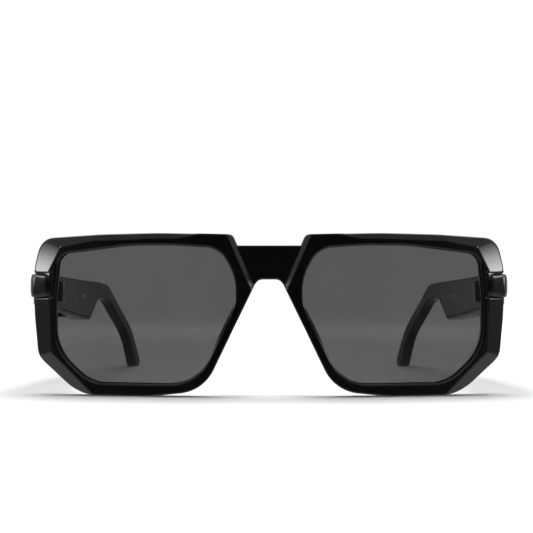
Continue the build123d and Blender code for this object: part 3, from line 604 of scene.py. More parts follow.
# ------------------------------------------------------------------ the front
@dataclass
class FrontShape:
    """Sizes of the front and the surfaces that they make, in the front's own plane.

    u runs to the wearer's left, v up the tilted plane, and w forwards out of it.
    """

    lens_width: float = 56.2
    lens_height: float = 42.85
    lens_gap: float = 20.4
    rim_low: float = 3.8
    rim_top: float = 3.95
    rim_side: float = 8.35
    rim_depth: float = 5.0
    front_radius: float = 340.0
    tilt: float = math.radians(3.0)
    lens_radius: float = 240.0
    lens_thickness: float = 1.8
    lens_setback: float = 0.4
    groove: float = 0.8
    window: float = 0.75
    crest: float = 0.7
    crease: float = 0.2
    fade_height: float = 2.2
    endpiece_proud: float = 0.38
    band_proud: float = 1.45
    top_facet: float = math.radians(42.0)
    corner_facet: float = math.radians(34.0)
    side_facet: float = math.radians(36.0)
    nose_facet: float = math.radians(42.0)

    def __post_init__(self) -> None:
        """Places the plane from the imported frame."""
        self.nasal = self.lens_gap / 2
        self.temporal = self.nasal + self.lens_width
        self.rim_outer = self.temporal + self.rim_side
        self.temple_outer = self.rim_outer + self.band_proud
        self.endpiece_back = float(self.wrap(self.rim_outer)) + self.rim_depth + self.endpiece_proud
        self.front_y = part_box("endpiece_band_left")[1].y / MM - self.endpiece_back
        self.leaf_y = self.front_y + self.endpiece_back
        self.lift = -float(self.wrap(self.at(0.477, 0)[0])) * math.sin(self.tilt)
        self.middle = np.array(self.at(0.5, 0.5))
        self.fading = (self.at(0.48, 1, 0, 2.15), self.at(0.3025, 1, 0, 2.2), self.top_facet)
        self.creases = [
            (self.at(1, 1, -1.45, -0.4), self.at(0.79, 1, 0, 1.55), self.top_facet),
            (self.at(0.79, 1, 0, 1.55), self.at(0.48, 1, 0, 2.15), self.top_facet),
            (self.at(1, 1, -1.45, -0.5), self.at(1, 0.811, 2.6), self.corner_facet),
            (self.at(1, 0.6243, 2.75), self.at(1, 0.2182, 2.0), self.side_facet),
            (self.at(1, 0.2182, 2.0), self.at(0.813, 0, 1.25, -1.35), self.side_facet),
            (self.at(0, 1, 1.96, 1.45), self.at(0, 0.685, -4.54), self.nose_facet),
        ]

    def at(self, across: float, up: float, du: float = 0.0, dv: float = 0.0) -> tuple[float, float]:
        """A point by its share of the opening's width and height, moved by du and dv."""
        return (
            self.nasal + across * self.lens_width + du,
            self.rim_low + up * self.lens_height + dv,
        )

    def wrap(self, u: Any) -> Any:
        """How far the wrapped face lies behind its middle at u: R - sqrt(R^2 - u^2)."""
        return self.front_radius - np.sqrt(self.front_radius ** 2 - np.square(u))

    def opening(self) -> Array:
        """The lens opening's outline."""
        return closed_outline([
            (self.at(0.089, 0.979), 8.0),
            (self.at(-0.0356, 0.683), 16.0),
            (self.at(0.2135, 0.0), 13.5),
            (self.at(0.813, 0.0), 12.0),
            (self.at(1.0, 0.24, self.window), 15.5),
            (self.at(1.0, 0.635, self.window), 60.0),
            (self.at(0.9786, 0.9346, self.window), 4.2),
            (self.at(0.5836, 0.9988), 60.0),
            (self.at(0.352, 1.0), 60.0),
        ])

    def rim(self) -> Array:
        """The rim's outer outline."""
        side, top = self.rim_side, self.rim_top
        return closed_outline([
            (self.at(0, 1, 1.0, top - 0.55), 1.6),
            (self.at(0, 0.69, -5.8, 1.08), 1.2),
            (self.at(0.2135, 0, -2.1, 1.95 - self.rim_low), 13.0),
            (self.at(0.477, 0, 0, -self.rim_low), 60.0),
            (self.at(0.813, 0, 4.0, -self.rim_low), 16.0),
            (self.at(1, 0.233, side - 1.4, -2.3), 7.0),
            (self.at(1, 0.495, side), 60.0),
            (self.at(1, 0.833, side), 25.0),
            (self.at(1, 1, side - 2.1, top - 1.5), 6.0),
            (self.at(0.7438, 1, 0, top - 0.35), 150.0),
            (self.at(0.4235, 1, 0, top), 150.0),
        ])

    def outwards(self, points: Array, along: Array) -> Array:
        """Directions square to an outline at its points, away from the opening's middle."""
        out = square_to(along)
        return out * np.sign(((points - self.middle) * out).sum(1))[:, None]

    def facet_height(self, crease: tuple[Any, Any, float], u: Array, v: Array) -> Array:
        """The height of a facet's plane: through its crease, sloping back away from the lens."""
        start, end, slope = crease
        a, b = (np.array([*point, -self.wrap(point[0])]) for point in (start, end))
        along = unit(b - a)
        outward = unit(np.cross(along, [0.0, 0.0, 1.0]))
        outward *= np.sign(outward @ (a - np.array([*self.middle, 0.0])))
        facing = np.cross(outward, along)
        facing *= np.sign(facing[2])
        normal = facing * math.cos(slope) + outward * math.sin(slope)
        return a[2] - (normal[0] * (u - a[0]) + normal[1] * (v - a[1])) / normal[2]

    def height(self, u: Array, v: Array) -> Array:
        """The front face: the wrapped face and every facet, joined by rounded creases."""
        fade = 1.0 - smooth_step(u, self.nasal + 3.0, self.nasal + 19.0)
        top = self.facet_height(self.fading, u, v) + self.fade_height * fade
        made = smooth_min(-self.wrap(u), top, self.crease)
        for crease in self.creases:
            made = smooth_min(made, self.facet_height(crease, u, v), self.crease)
        return made

    def back(self, u: Array, v: Array) -> Array:
        """The rim's back face, parallel to the wrapped face and so the same at every v."""
        return np.sqrt((self.front_radius - self.rim_depth) ** 2 - np.square(u)) - self.front_radius

    def lens_face(self, u: Array, v: Array, behind: Any) -> Array:
        """A lens surface: a sphere whose middle lies behind the rim's face."""
        cu, cv = self.middle
        normal = np.array([cu, 0.0, math.sqrt(self.front_radius ** 2 - cu ** 2)])
        normal /= self.front_radius
        centre = np.array([cu, cv, -self.wrap(cu)]) - normal * (self.lens_radius + self.lens_setback)
        radius = self.lens_radius - behind
        return centre[2] + np.sqrt(radius ** 2 - (u - centre[0]) ** 2 - (v - centre[1]) ** 2)

    def world(self, u: Array, v: Array, w: Array) -> Array:
        """Points of the front's plane in the shared frame, in millimetres."""
        s, c = math.sin(self.tilt), math.cos(self.tilt)
        return np.stack([u, self.front_y - v * s - w * c, self.lift + v * c - w * s], -1)


@dataclass
class Channel:
    """The channel round each end piece in which its band sits."""

    band_top: float
    band_low: float
    floor: float = 0.85
    gap_top: float = 0.12
    gap_low: float = 0.2
    round_top: float = 0.6
    round_low: float = 0.42

    def __post_init__(self) -> None:
        """Works out the heights of the two ledges."""
        self.high, self.low = self.band_top + self.gap_top, self.band_low - self.gap_low

    def depth(self, z: Array) -> Array:
        """How far the surface is sunk at a height: rounded ledges above and below the floor."""
        over, under = z - self.high, self.low - z
        fall = edge_drop(np.abs(over), self.round_top) + edge_drop(np.abs(under), self.round_low)
        return np.where(np.maximum(over, under) < 0, self.floor, fall)

    def levels(self) -> Array:
        """Heights that need a row: both ledges, twice where they drop to the floor."""
        steps = np.array([-0.2, -1e-4, 1e-4, 0.04, 0.1, 0.18, 0.28, 0.4, 0.55, 0.7])
        return np.sort(np.concatenate([self.high + steps, self.low - steps]))


@dataclass
class Front:
    """The one-piece front: two rims, the bridge, the end blocks and the nose rests."""

    shape: FrontShape
    opening_round: float = 0.72
    edge_round: float = 0.55
    back_round: float = 0.6
    groove_clear: float = 0.04
    bridge_setback: float = 1.4
    bridge_depth: float = 3.2
    bridge_drop: float = 0.05
    bridge_height: float = 10.5
    arch_flat: float = 3.8
    arch_radius: float = 2.5
    nose_rest_depth: float = 4.5
    nose_rest_width: float = 3.2
    endpiece_inset: float = 0.9
    block_inside: float = 0.22
    block_under: float = 1.9
    block_over: float = 2.0
    block_round: float = 0.6
    leaf: float = 1.0
    leaf_clear: float = 0.02
    beside: float = 2.5
    rows: int = 640
    fine: int = 6000
    front_steps: int = 44

    def __post_init__(self) -> None:
        """Reads the band's and the hinge's places from the frame."""
        low, high = in_mm(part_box("endpiece_band_left"))
        self.channel = Channel(high[2] + self.shape.crest, low[2])
        self.band_x = low[0]
        leaf_low, leaf_high = in_mm(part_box("hinge_front_leaf_left"))
        self.leaf_low, self.leaf_high, self.leaf_outer = leaf_low[2], leaf_high[2], leaf_high[0]

    def rays(self) -> tuple[Array, Array, Array, Array]:
        """Lines across the rim, square to the opening and level through the band's channel.

        Returns:
            Starts on the opening, directions, lengths to the outer outline, and how much each
            line belongs to the level stretch.
        """
        shape, channel = self.shape, self.channel
        opening = shape.opening()
        side_w = shape.height(np.full(1, shape.temporal + 5.0), np.full(1, 33.0))[0]

        def heights(points: Array) -> Array:
            """The heights of points on the front's side."""
            return shape.world(points[:, 0], points[:, 1], side_w)[:, 2]

        def at_side(points: Array) -> Array:
            """Which points are on the opening's outer side."""
            return points[:, 0] > shape.temporal - self.beside

        dense = resample(opening, np.linspace(0, 1, self.fine, endpoint=False))
        side = at_side(dense)
        z = heights(dense[side])
        order = np.argsort(z)
        extra = np.interp(
            channel.levels(), z[order], (np.nonzero(side)[0] / float(self.fine))[order]
        )
        shares = np.linspace(0.0, 1.0, self.rows, endpoint=False)
        near = resample(opening, shares)
        z = heights(near)
        clash = at_side(near) & (
            (np.abs(z - channel.high) < 0.6) | (np.abs(z - channel.low) < 0.6)
        )
        shares = np.sort(np.concatenate([shares[~clash], extra]))
        start, ahead, behind = (
            resample(opening, (shares + step) % 1.0) for step in (0.0, 5e-4, -5e-4)
        )
        out = shape.outwards(start, ahead - behind)
        z = heights(start)
        rising = smooth_step(z, channel.low - 6.0, channel.low - 1.0)
        ending = smooth_step(z, channel.high + 0.6, channel.high + 4.0)
        level = np.where(at_side(start), rising * (1 - ending), 0.0)
        turn = np.arctan2(out[:, 1], out[:, 0]) * (1.0 - level)
        out = np.where(level[:, None] > 0, np.stack([np.cos(turn), np.sin(turn)], 1), out)
        return start, out, self.lengths(start, out, shape.rim()), level

    @staticmethod
    def lengths(start: Array, out: Array, outline: Array) -> Array:
        """The distance along each line to the first outline segment that it crosses."""
        a, b = outline[:-1], outline[1:]
        ab = b - a
        to_a = a[None] - start[:, None]
        cross = out[:, None, 0] * ab[None, :, 1] - out[:, None, 1] * ab[None, :, 0]
        cross = np.where(np.abs(cross) < 1e-12, 1e-12, cross)
        reach = (to_a[..., 0] * ab[None, :, 1] - to_a[..., 1] * ab[None, :, 0]) / cross
        share = (to_a[..., 0] * out[:, None, 1] - to_a[..., 1] * out[:, None, 0]) / cross
        good = (share >= -1e-6) & (share <= 1 + 1e-6) & (reach > 0.5)
        return np.where(good, reach, 1e6).min(1)

    def rim_points(self) -> Array:
        """One rim as rows of closed profiles.

        A row's profile runs from the opening's rounded edge over the front face and its facets,
        round the outer edge, down the side, over the back and up through the lens groove.
        """
        shape = self.shape
        start, out, length, level = self.rays()
        corner, edge, back_edge = self.opening_round, self.edge_round, self.back_round

        def spot(r: Array) -> tuple[Array, Array]:
            """u and v at the distances r along every row's line."""
            return start[:, :1] + out[:, :1] * r, start[:, 1:] + out[:, 1:] * r

        def on(face: Callable[..., Array], r: Array, *more: float) -> tuple[Array, Array]:
            """The distance in every row, and a face's height there."""
            return r, face(*spot(r[:, None]), *more)[:, 0]

        def along(face: Callable[..., Array], r: Array) -> Array:
            """A face's stretch of the profiles."""
            return np.stack([r, face(*spot(r))])

        def moved(end: tuple[Array, Array], rise: Any) -> tuple[Array, Array]:
            """A point of every profile, raised."""
            return end[0], end[1] + rise

        def curve(count: int, *ends: tuple[Array, Array]) -> Array:
            """A quadratic curve from the first point to the third with its corner at the second."""
            s = np.linspace(0, 1, count)
            p0, p1, p2 = (np.stack(end)[..., None] for end in ends)
            return (1 - s) ** 2 * p0 + 2 * s * (1 - s) * p1 + s * s * p2

        zero = np.zeros_like(length)
        inner, outer = on(shape.height, zero), on(shape.height, length)
        before = on(shape.height, length - edge)
        opening = curve(6, moved(inner, -corner), inner, on(shape.height, zero + corner))
        face = along(shape.height, corner + np.linspace(0, 1, self.front_steps)[None]
                     * (length - edge - corner)[:, None])
        side = curve(7, before, outer, moved(outer, -np.hypot(edge, before[1] - outer[1])))
        rear_at, hem_at = on(shape.back, length), on(shape.back, zero)
        rear = curve(6, moved(rear_at, back_edge), rear_at, on(shape.back, length - back_edge))
        back = along(shape.back, (length - back_edge)[:, None] + np.linspace(0, 1, 8)[None, 1:-1]
                     * (2 * back_edge - length)[:, None])
        hem = curve(5, on(shape.back, zero + back_edge), hem_at, moved(hem_at, back_edge))
        lip, clear = zero + shape.groove, self.groove_clear
        groove = np.stack([
            np.stack(moved(on(shape.lens_face, r, depth), rise)) for r, depth, rise in (
                (zero, shape.lens_thickness, -clear), (lip, shape.lens_thickness, -clear),
                (lip, 0.0, clear), (zero, 0.0, clear),
            )
        ], -1)
        r, w = np.concatenate([opening[..., :-1], face, side[..., 1:], rear, back, hem, groove], -1)
        u, v = spot(r)
        middle = self.front_steps // 2
        v = v + level[:, None] * (w - w[:, middle:middle + 1]) * math.tan(shape.tilt)
        first = opening.shape[2] - 1
        return self.sink(u, v, w, out, level, first, first + face.shape[2] + side.shape[2] - 1)

    def sink(self, u: Array, v: Array, w: Array, out: Array, level: Array,
             first: int, last: int) -> Array:
        """Lowers the channel's stretch of the profiles along their own inward normal.

        Args:
            u, v, w: the profiles in the front's plane.
            out: the rows' directions.
            level: how much each row belongs to the level stretch.
            first: the first column that can sink.
            last: the column after the last.

        Returns:
            The profiles as points in the shared frame.
        """
        shape = self.shape
        across = u * out[:, :1] + v * out[:, 1:]
        step_r, step_w = np.gradient(across, axis=1), np.gradient(w, axis=1)
        size = np.maximum(np.hypot(step_r, step_w), 1e-9)
        depth = self.channel.depth(shape.world(u, v, w)[..., 2])
        depth = depth * smooth_step(u, self.band_x - 0.12, self.band_x + 0.12)
        columns = np.zeros(u.shape[1])
        columns[first:last] = 1.0
        depth = depth * columns[None] * (level > 0.4)[:, None]
        inward_r, inward_w = depth * step_w / size, -depth * step_r / size
        return shape.world(u + inward_r * out[:, :1], v + inward_r * out[:, 1:], w + inward_w)

    def bridge_points(self) -> Array:
        """The bridge: a rounded bar whose underside follows the nose arch."""
        shape = self.shape
        top = shape.rim_low + shape.lens_height - self.bridge_drop
        low = top - self.bridge_height
        wide = shape.nasal + 0.2
        half = [
            ((wide, top - 0.3), 0.0), ((6.0, low - 1.1), 0.4), ((4.8, low - 2.15), 0.4),
            ((self.arch_flat / 2 + 1.3, low), self.arch_radius),
        ]
        under = open_path([((-u, v), radius) for (u, v), radius in half] + half[::-1])
        u = np.linspace(-wide, wide, 241)
        v_low = np.interp(u, under[:, 0], under[:, 1])
        front, back = -self.bridge_setback, -self.bridge_setback - self.bridge_depth
        corners = sections((v_low, back), (v_low, front), (top, front), (top, back))
        loops = rounded_loops(corners, np.array([0.7, 0.6, 0.5, 0.7]), 7)
        return shape.world(np.broadcast_to(u[:, None], loops.shape[:2]), loops[..., 0], loops[..., 1])

    def block_points(self) -> Array:
        """The block behind a rim's side: plan outlines stacked upwards, with the leaf's pocket."""
        shape, tiny = self.shape, 1e-4
        low, high = self.leaf_low - self.block_under, self.leaf_high + self.block_over
        levels = self.channel.levels()
        ends = np.array([0.0, 0.06, 0.15, 0.28, 0.42, 0.6])
        z = np.sort(np.concatenate([
            low + ends, high - ends, self.leaf_low + np.array([-tiny, tiny]),
            self.leaf_high + np.array([-tiny, tiny]),
            levels[(levels > low + self.block_round) & (levels < high)],
        ]))
        inset = edge_drop(np.minimum(z - low, high - z), self.block_round)
        inner = shape.temporal + self.endpiece_inset + shape.window + inset
        outer = shape.rim_outer - self.block_inside - np.maximum(inset, self.channel.depth(z))
        back = shape.leaf_y - inset
        in_pocket = (z > self.leaf_low) & (z < self.leaf_high)
        floor = np.where(in_pocket, shape.leaf_y - self.leaf - self.leaf_clear, back)
        corner = self.leaf_outer + self.leaf_clear
        front = shape.front_y + float(shape.wrap(shape.temporal)) + 3.0
        corners = sections(
            (inner, front), (outer, front + 2.0), (outer, back),
            (corner, back), (corner, floor), (inner, floor),
        )
        loops = rounded_loops(corners, np.array([0.3, 0.3, 0.3, 0.0, 0.0, 0.25]), 5)
        height = np.broadcast_to(z[:, None], loops.shape[:2])
        return np.stack([loops[..., 0], loops[..., 1], height], -1)

    def rest_points(self) -> Array:
        """A nose rest: a superellipsoid along the nasal edge, deeper behind than in front."""
        shape, power = self.shape, 2.6
        start = np.array(shape.at(0, 0.69, -5.8, 1.08))
        end = np.array(shape.at(0.2135, 0, -2.1, 1.95 - shape.rim_low))
        middle = start + (end - start) * 0.42
        along = unit(end - start)
        out = np.array([-along[1], along[0]])
        out *= np.sign(out[0])
        half = 0.3 * np.linalg.norm(end - start)
        t = np.sin(np.linspace(-1.0, 1.0, 61) * math.pi / 2)
        scale = np.maximum((1.0 - np.abs(t) ** power) ** (1 / power), 1e-4)[:, None]
        angle = np.linspace(0.0, 2 * math.pi, 48, endpoint=False)
        wide = self.nose_rest_width / 2
        a = wide + wide * scale * signed_power(np.cos(angle), 0.8)[None]
        rise = signed_power(np.sin(angle), 0.8)
        deep = np.where(rise > 0, 2.0, self.nose_rest_depth + 0.9)
        w = -shape.rim_depth + 0.9 + scale * (rise * deep)[None]
        centre = middle[None] + along[None] * (t * half)[:, None]
        return shape.world(centre[:, :1] + out[0] * a, centre[:, 1:] + out[1] * a, w)

    def build(self) -> None:
        """Makes every piece of the front and hides the CAD front behind them."""
        made = [surface_piece("bridge", self.bridge_points())]
        for side in Side:
            made += [
                surface_piece(f"rim_{side.tag}", self.rim_points(), side, Ends.JOINED, 50.0),
                surface_piece(f"end_block_{side.tag}", self.block_points(), side),
                surface_piece(f"nose_rest_{side.tag}", self.rest_points(), side),
            ]
        for piece in made:
            settle(piece, "front", "frame_gloss", GLOSS_FRONT, "front_frame")


@dataclass
class Lenses:
    """The two lenses, each a meniscus held in its rim's groove."""

    shape: FrontShape
    clearance: float = 0.05
    bevel: float = 0.15
    rings: int = 26

    def points(self) -> Array:
        """One lens: rings from the middle of its back, over its edge, to the middle of its front."""
        shape, thick = self.shape, self.shape.lens_thickness
        outline = resample(shape.opening(), np.linspace(0, 1, 300, endpoint=False))
        out = shape.outwards(outline, np.roll(outline, -1, 0) - np.roll(outline, 1, 0))
        edge = outline + out * (shape.groove - self.clearance)
        shares = np.linspace(1e-3, 1.0, self.rings) ** 0.8
        inner = edge - out * self.bevel
        rings = shape.middle + shares[:, None, None] * (inner - shape.middle)[None]
        plan = np.concatenate([rings, edge[None], edge[None], rings[::-1]])
        behind = np.repeat(
            [thick - self.clearance, thick - self.bevel, self.bevel, self.clearance],
            [self.rings, 1, 1, self.rings],
        )[:, None]
        u, v = plan[..., 0], plan[..., 1]
        return shape.world(u, v, shape.lens_face(u, v, behind))

    def build(self) -> None:
        """Makes both lenses."""
        for side in Side:
            piece = surface_piece(f"lens_shell_{side.tag}", self.points(), side)
            settle(piece, "front", "lens_tint", LENS_TINT, f"lens_{side.tag}")


@dataclass
class Bands:
    """The bands that wrap the end pieces, crowned at their upper and lower edges."""

    shape: FrontShape
    floor: float = 0.85
    crown_depth: float = 1.2
    crown_side: float = 0.7
    crown_power: float = 2.6
    steps: int = 90
    crown: int = 30

    def points(self) -> Array:
        """One band: its section carried round the end piece.

        The outer side is a superellipse crown that falls d (1 - (1 - |t|^p)^(1/p)) towards its
        upper and lower edges, t being -1 and 1 there; the inner side is flat.
        """
        shape, power = self.shape, self.crown_power
        low, high = in_mm(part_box("endpiece_band_left"))
        band_x, z_low, z_high = low[0], low[2], high[2] + shape.crest
        band_y = shape.front_y + float(shape.wrap(band_x))
        channel = shape.rim_outer - self.floor
        outer = open_path([
            ((band_x, band_y + 0.77), 0.0),
            ((band_x, band_y - 0.93), 1.0),
            ((band_x + 2.4, band_y - 0.73), 3.0),
            ((shape.rim_outer + 0.15, shape.leaf_y - 5.5), 2.5),
            ((shape.temple_outer, shape.leaf_y - 3.3), 2.0),
            ((shape.temple_outer, shape.leaf_y), 0.0),
        ])
        inner = open_path([
            ((band_x, band_y + 0.77), 0.0), ((band_x + 2.0, band_y + 1.07), 3.0),
            ((channel, shape.leaf_y - 3.1), 1.5), ((channel, shape.leaf_y), 0.0),
        ])
        shares = np.linspace(0.0, 1.0, self.steps)
        p, q = resample(outer, shares), resample(inner, shares ** 1.15)
        inward = -square_to(np.gradient(p, axis=0))
        inward *= np.sign(((q - p) * inward).sum(1) + 1e-9)[:, None]
        s = (1.0 - np.cos(np.linspace(0, math.pi, self.crown))) / 2
        z = z_low + s * (z_high - z_low)
        share = np.abs(2 * (z - z_low) / (z_high - z_low) - 1)
        fall = 1 - (1 - share ** power) ** (1 / power)
        to_side = smooth_step(shares, 0.3, 0.6)
        depth = self.crown_depth + (self.crown_side - self.crown_depth) * to_side
        thick = np.maximum(((q - p) * inward).sum(1), 0.0)
        fall = np.minimum(fall[None] * depth[:, None], 0.92 * thick[:, None])
        face = p[:, None] + inward[:, None] * fall[..., None]
        plan = np.concatenate([face, q[:, None], q[:, None]], 1)
        heights = np.broadcast_to(np.concatenate([z, [z_high, z_low]])[None], plan.shape[:2])
        return np.concatenate([plan, heights[..., None]], -1)[1:]

    def build(self) -> None:
        """Makes both bands."""
        for side in Side:
            piece = surface_piece(f"band_{side.tag}", self.points(), side)
            settle(piece, "front", "band_gloss", GLOSS_BAND, f"endpiece_band_{side.tag}")


# ------------------------------------------------------------------ temples
@dataclass
class TempleShape:
    """Sizes of a temple and its side view; y runs back from the front's low edge."""

    shape: FrontShape
    thickness: float = 7.0
    arm_thickness: float = 4.6
    lean_start: float = 31.0
    lean_radius: float = 460.0
    housing_front: float = 10.8
    housing_mid: float = 24.0
    mid_drop: float = 2.6
    deep_drop: float = 4.4
    temple_drop: float = 0.7
    arm_height: float = 6.1
    end_wall: float = 0.8
    step_length: float = 11.5
    arm_gap: float = 5.7
    lip: float = 1.0
    play: float = 0.2
    seal_width: float = 0.5
    seat: float = 1.4
    wall: float = 1.6
    cover_thickness: float = 1.0
    facet_high: float = 1.5
    facet_wide: float = 1.2
    end_round: float = 0.6
    reach: float = 138.2

    def __post_init__(self) -> None:
        """Takes the temple's main places from the frame."""
        base = self.shape.front_y
        low, high = in_mm(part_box("housing_left"))
        self.outer = self.shape.temple_outer
        self.inner = self.outer - self.thickness
        self.front, self.top = low[1] - base, high[2]
        self.cover_start, self.cover_end = in_mm(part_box("inner_cover_left"))[:, 1] - base
        self.cavity_back = in_mm(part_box("circuit_board_left"))[1, 1] - base + 1.0
        self.deep = self.cavity_back - 4.0
        self.step_start = self.cavity_back + self.end_wall
        self.step_end = self.step_start + self.step_length
        self.arm_start = self.step_end + self.arm_gap
        self.lean_from = self.front + self.lean_start
        self.low_front = self.top - self.housing_front
        self.arm_top = self.top - self.temple_drop
        self.arm_low = self.arm_top - self.arm_height

    def lean(self, offset: Array, y: Array) -> tuple[Array, Array]:
        """Plan points at an offset outside the inner face: straight, then round a large arc."""
        angle = np.arcsin(np.clip((y - self.lean_from) / self.lean_radius, 0.0, 1.0))
        reach = self.lean_radius + offset
        bent = y > self.lean_from
        arc_x = self.inner - self.lean_radius + reach * np.cos(angle)
        back = np.where(bent, self.lean_from + reach * np.sin(angle), y)
        return np.where(bent, arc_x, self.inner + offset), self.shape.front_y + back

    def side_view(self) -> Array:
        """The housing's outline seen from the side."""
        lowest = self.low_front - self.deep_drop
        return closed_outline([
            ((self.front, self.top), 0.6),
            ((self.arm_start, self.arm_top), 0.0),
            ((self.arm_start, self.arm_low), 0.0),
            ((self.step_end, self.arm_low - 0.6), 4.0),
            ((self.step_start, lowest), 3.0),
            ((self.deep, lowest), 5.0),
            ((self.front + self.housing_mid, self.low_front - self.mid_drop), 100.0),
            ((self.front, self.low_front), 0.6),
        ])

    def edges(self, y: Array, inset: float) -> tuple[Array, Array]:
        """The heights of the outline's lower and upper edge at y, moved in by inset."""
        outline = self.side_view()[:-1]
        inward = square_to(np.roll(outline, -1, 0) - np.roll(outline, 1, 0))
        middle = np.array([self.front + 20.0, self.top - 5.0])
        inward *= np.sign(((middle - outline) * inward).sum(1).sum())
        moved = outline + inward * inset
        level = self.arm_top - 1.5
        halves = (moved[moved[:, 1] < level], moved[moved[:, 1] > level])
        lower, upper = (half[np.argsort(half[:, 0])] for half in halves)
        return np.interp(y, lower[:, 0], lower[:, 1]), np.interp(y, upper[:, 0], upper[:, 1])

    def wide(self, y: Array) -> Array:
        """The temple's thickness, which thins from the deepest point to the arm."""
        share = np.clip((y - self.deep) / (self.arm_start - self.deep), 0.0, 1.0)
        return self.thickness + share * (self.arm_thickness - self.thickness)


@dataclass
class Temple:
    """One temple's shells: housing, inner cover and arm."""

    sizes: TempleShape
    side: Side
    notch_depth: float = 2.4
    notch_half: float = 1.25
    slot_margin: float = 0.3
    slot_pitch: float = 2.2
    slot_share: float = 0.72
    slot_depth: float = 8.0
    slot_over: float = 0.1
    mic_port: float = 0.8
    button_width: float = 2.2
    button_length: float = 7.0
    button_play: float = 0.12
    button_over: float = 0.3
    cover_round: float = 0.25
    tip_round: float = 1.1

    def solid(self, name: str, y: Array, loops: Array) -> bpy.types.Object:
        """A piece from sections (offset, height) at places y along the temple."""
        x, back = self.sizes.lean(loops[..., 0], y[:, None])
        return surface_piece(name, np.stack([x, back, loops[..., 1]], -1), self.side)

    def housing(self) -> bpy.types.Object:
        """The outer shell: its section goes round the outside, the lips, the seat and the hollow."""
        sizes, tiny = self.sizes, np.array([-1e-3, 1e-3])
        seat_from, seat_to = sizes.cover_start - 0.05, sizes.cover_end + 0.2
        y = np.sort(np.concatenate([
            sizes.front + np.array([0.0, 0.05, 0.13, 0.24, 0.4, 0.6]),
            np.linspace(sizes.front + 1.0, sizes.deep, 60),
            np.linspace(sizes.deep + 0.5, sizes.step_end + 3, 56),
            seat_from + tiny, sizes.cavity_back + tiny, seat_to + tiny,
            [sizes.arm_start - 1.5, sizes.arm_start],
        ]))
        low, high = sizes.edges(y, 0.0)
        rounding = y < sizes.front + sizes.end_round
        inset = edge_drop(y - sizes.front, sizes.end_round)
        low = np.where(rounding, sizes.low_front + inset, low)
        high = np.where(rounding, sizes.top - inset, high)
        near = inset * 0.6
        wide = sizes.wide(y) - near
        hinge_z = in_mm(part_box("hinge_temple_leaf_left"))[:, 2].mean()
        in_front = y < seat_from
        seated = (y > seat_from) & (y < seat_to)
        hollow = (y > seat_from) & (y < sizes.cavity_back)
        depth = np.where(in_front, self.notch_depth, np.where(seated, sizes.seat, 0.0))
        deeper = np.where(hollow, sizes.thickness - sizes.wall, depth)
        middle = (low + high) / 2

        def lips(inwards: float) -> tuple[Array, Array]:
            """The edges of the cover's opening at an inset, and of the hinge's notch in front."""
            below, above = sizes.edges(y, inwards)
            below = np.where(in_front, hinge_z - self.notch_half, below)
            above = np.where(in_front, hinge_z + self.notch_half, above)
            return np.minimum(below, middle), np.maximum(above, middle)

        (lip_low, lip_high), (hold_low, hold_high) = lips(sizes.lip), lips(
            sizes.lip + sizes.seal_width
        )
        tall, broad, mouth = sizes.facet_high, sizes.facet_wide, np.minimum(near, depth)
        corners = sections(
            (near, low), (wide - broad, low), (wide, low + tall), (wide, high - tall),
            (wide - broad, high), (near, high), (mouth, lip_high), (depth, lip_high),
            (depth, hold_high), (deeper, hold_high), (deeper, hold_low), (depth, hold_low),
            (depth, lip_low), (mouth, lip_low),
        )
        radii = np.zeros(corners.shape[:2])
        radii[:, [0, 5]] = 0.3
        radii[:, [1, 2, 3, 4]] = 0.7
        radii[:, [6, 13]] = np.where(seated, 0.22, 0.0)[:, None]
        shell = self.solid(f"temple_shell_{self.side.tag}", y, rounded_loops(corners, radii, 5))
        cut(shell, self.openings())
        return shell

    def slot(self, middle: Array, size: tuple[float, float], top: float,
             corner: float) -> bpy.types.Object:
        """A rounded prism that rises through the underside up to a height."""
        (x, y), (wide, long) = middle, (size[0] / 2, size[1] / 2)
        outline = np.array([[x - wide, y - long], [x + wide, y - long],
                            [x + wide, y + long], [x - wide, y + long]])
        loop = rounded_loops(outline[None], np.full(4, corner), 7)[0]
        points = [np.column_stack([loop, np.full(len(loop), z)]) for z in (top - self.slot_depth, top)]
        return surface_piece("cutter", np.array(points), self.side)

    def openings(self) -> list[bpy.types.Object]:
        """Cutters for the speaker's slots, the microphone's port and the button's slot."""
        tag, mirror = self.side.tag, np.array([self.side.value, 1.0, 1.0])
        low, high = in_mm(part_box(f"speaker_{tag}"))
        across = high[0] - low[0] - 2 * self.slot_margin
        along = across * self.slot_share
        x, y, _ = (low + high) / 2 * mirror
        made = [
            self.slot((x, y + step * self.slot_pitch), (across, along), low[2] + self.slot_over,
                      along * 0.49)
            for step in (-1.5, -0.5, 0.5, 1.5)
        ]
        low, high = in_mm(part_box(f"mic_mesh_{tag}"))
        port = self.mic_port
        middle = ((low + high) / 2 * mirror)[:2]
        made.append(self.slot(middle, (port, port), low[2] + self.slot_over, port * 0.49))
        if self.side is Side.RIGHT:
            low, high = in_mm(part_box("multifunction_button"))
            wide, long = (size + 2 * self.button_play for size in
                          (self.button_width, self.button_length))
            middle = ((low + high) / 2 * mirror)[:2]
            made.append(self.slot(middle, (wide, long), high[2] + self.button_over, wide * 0.3))
        return made

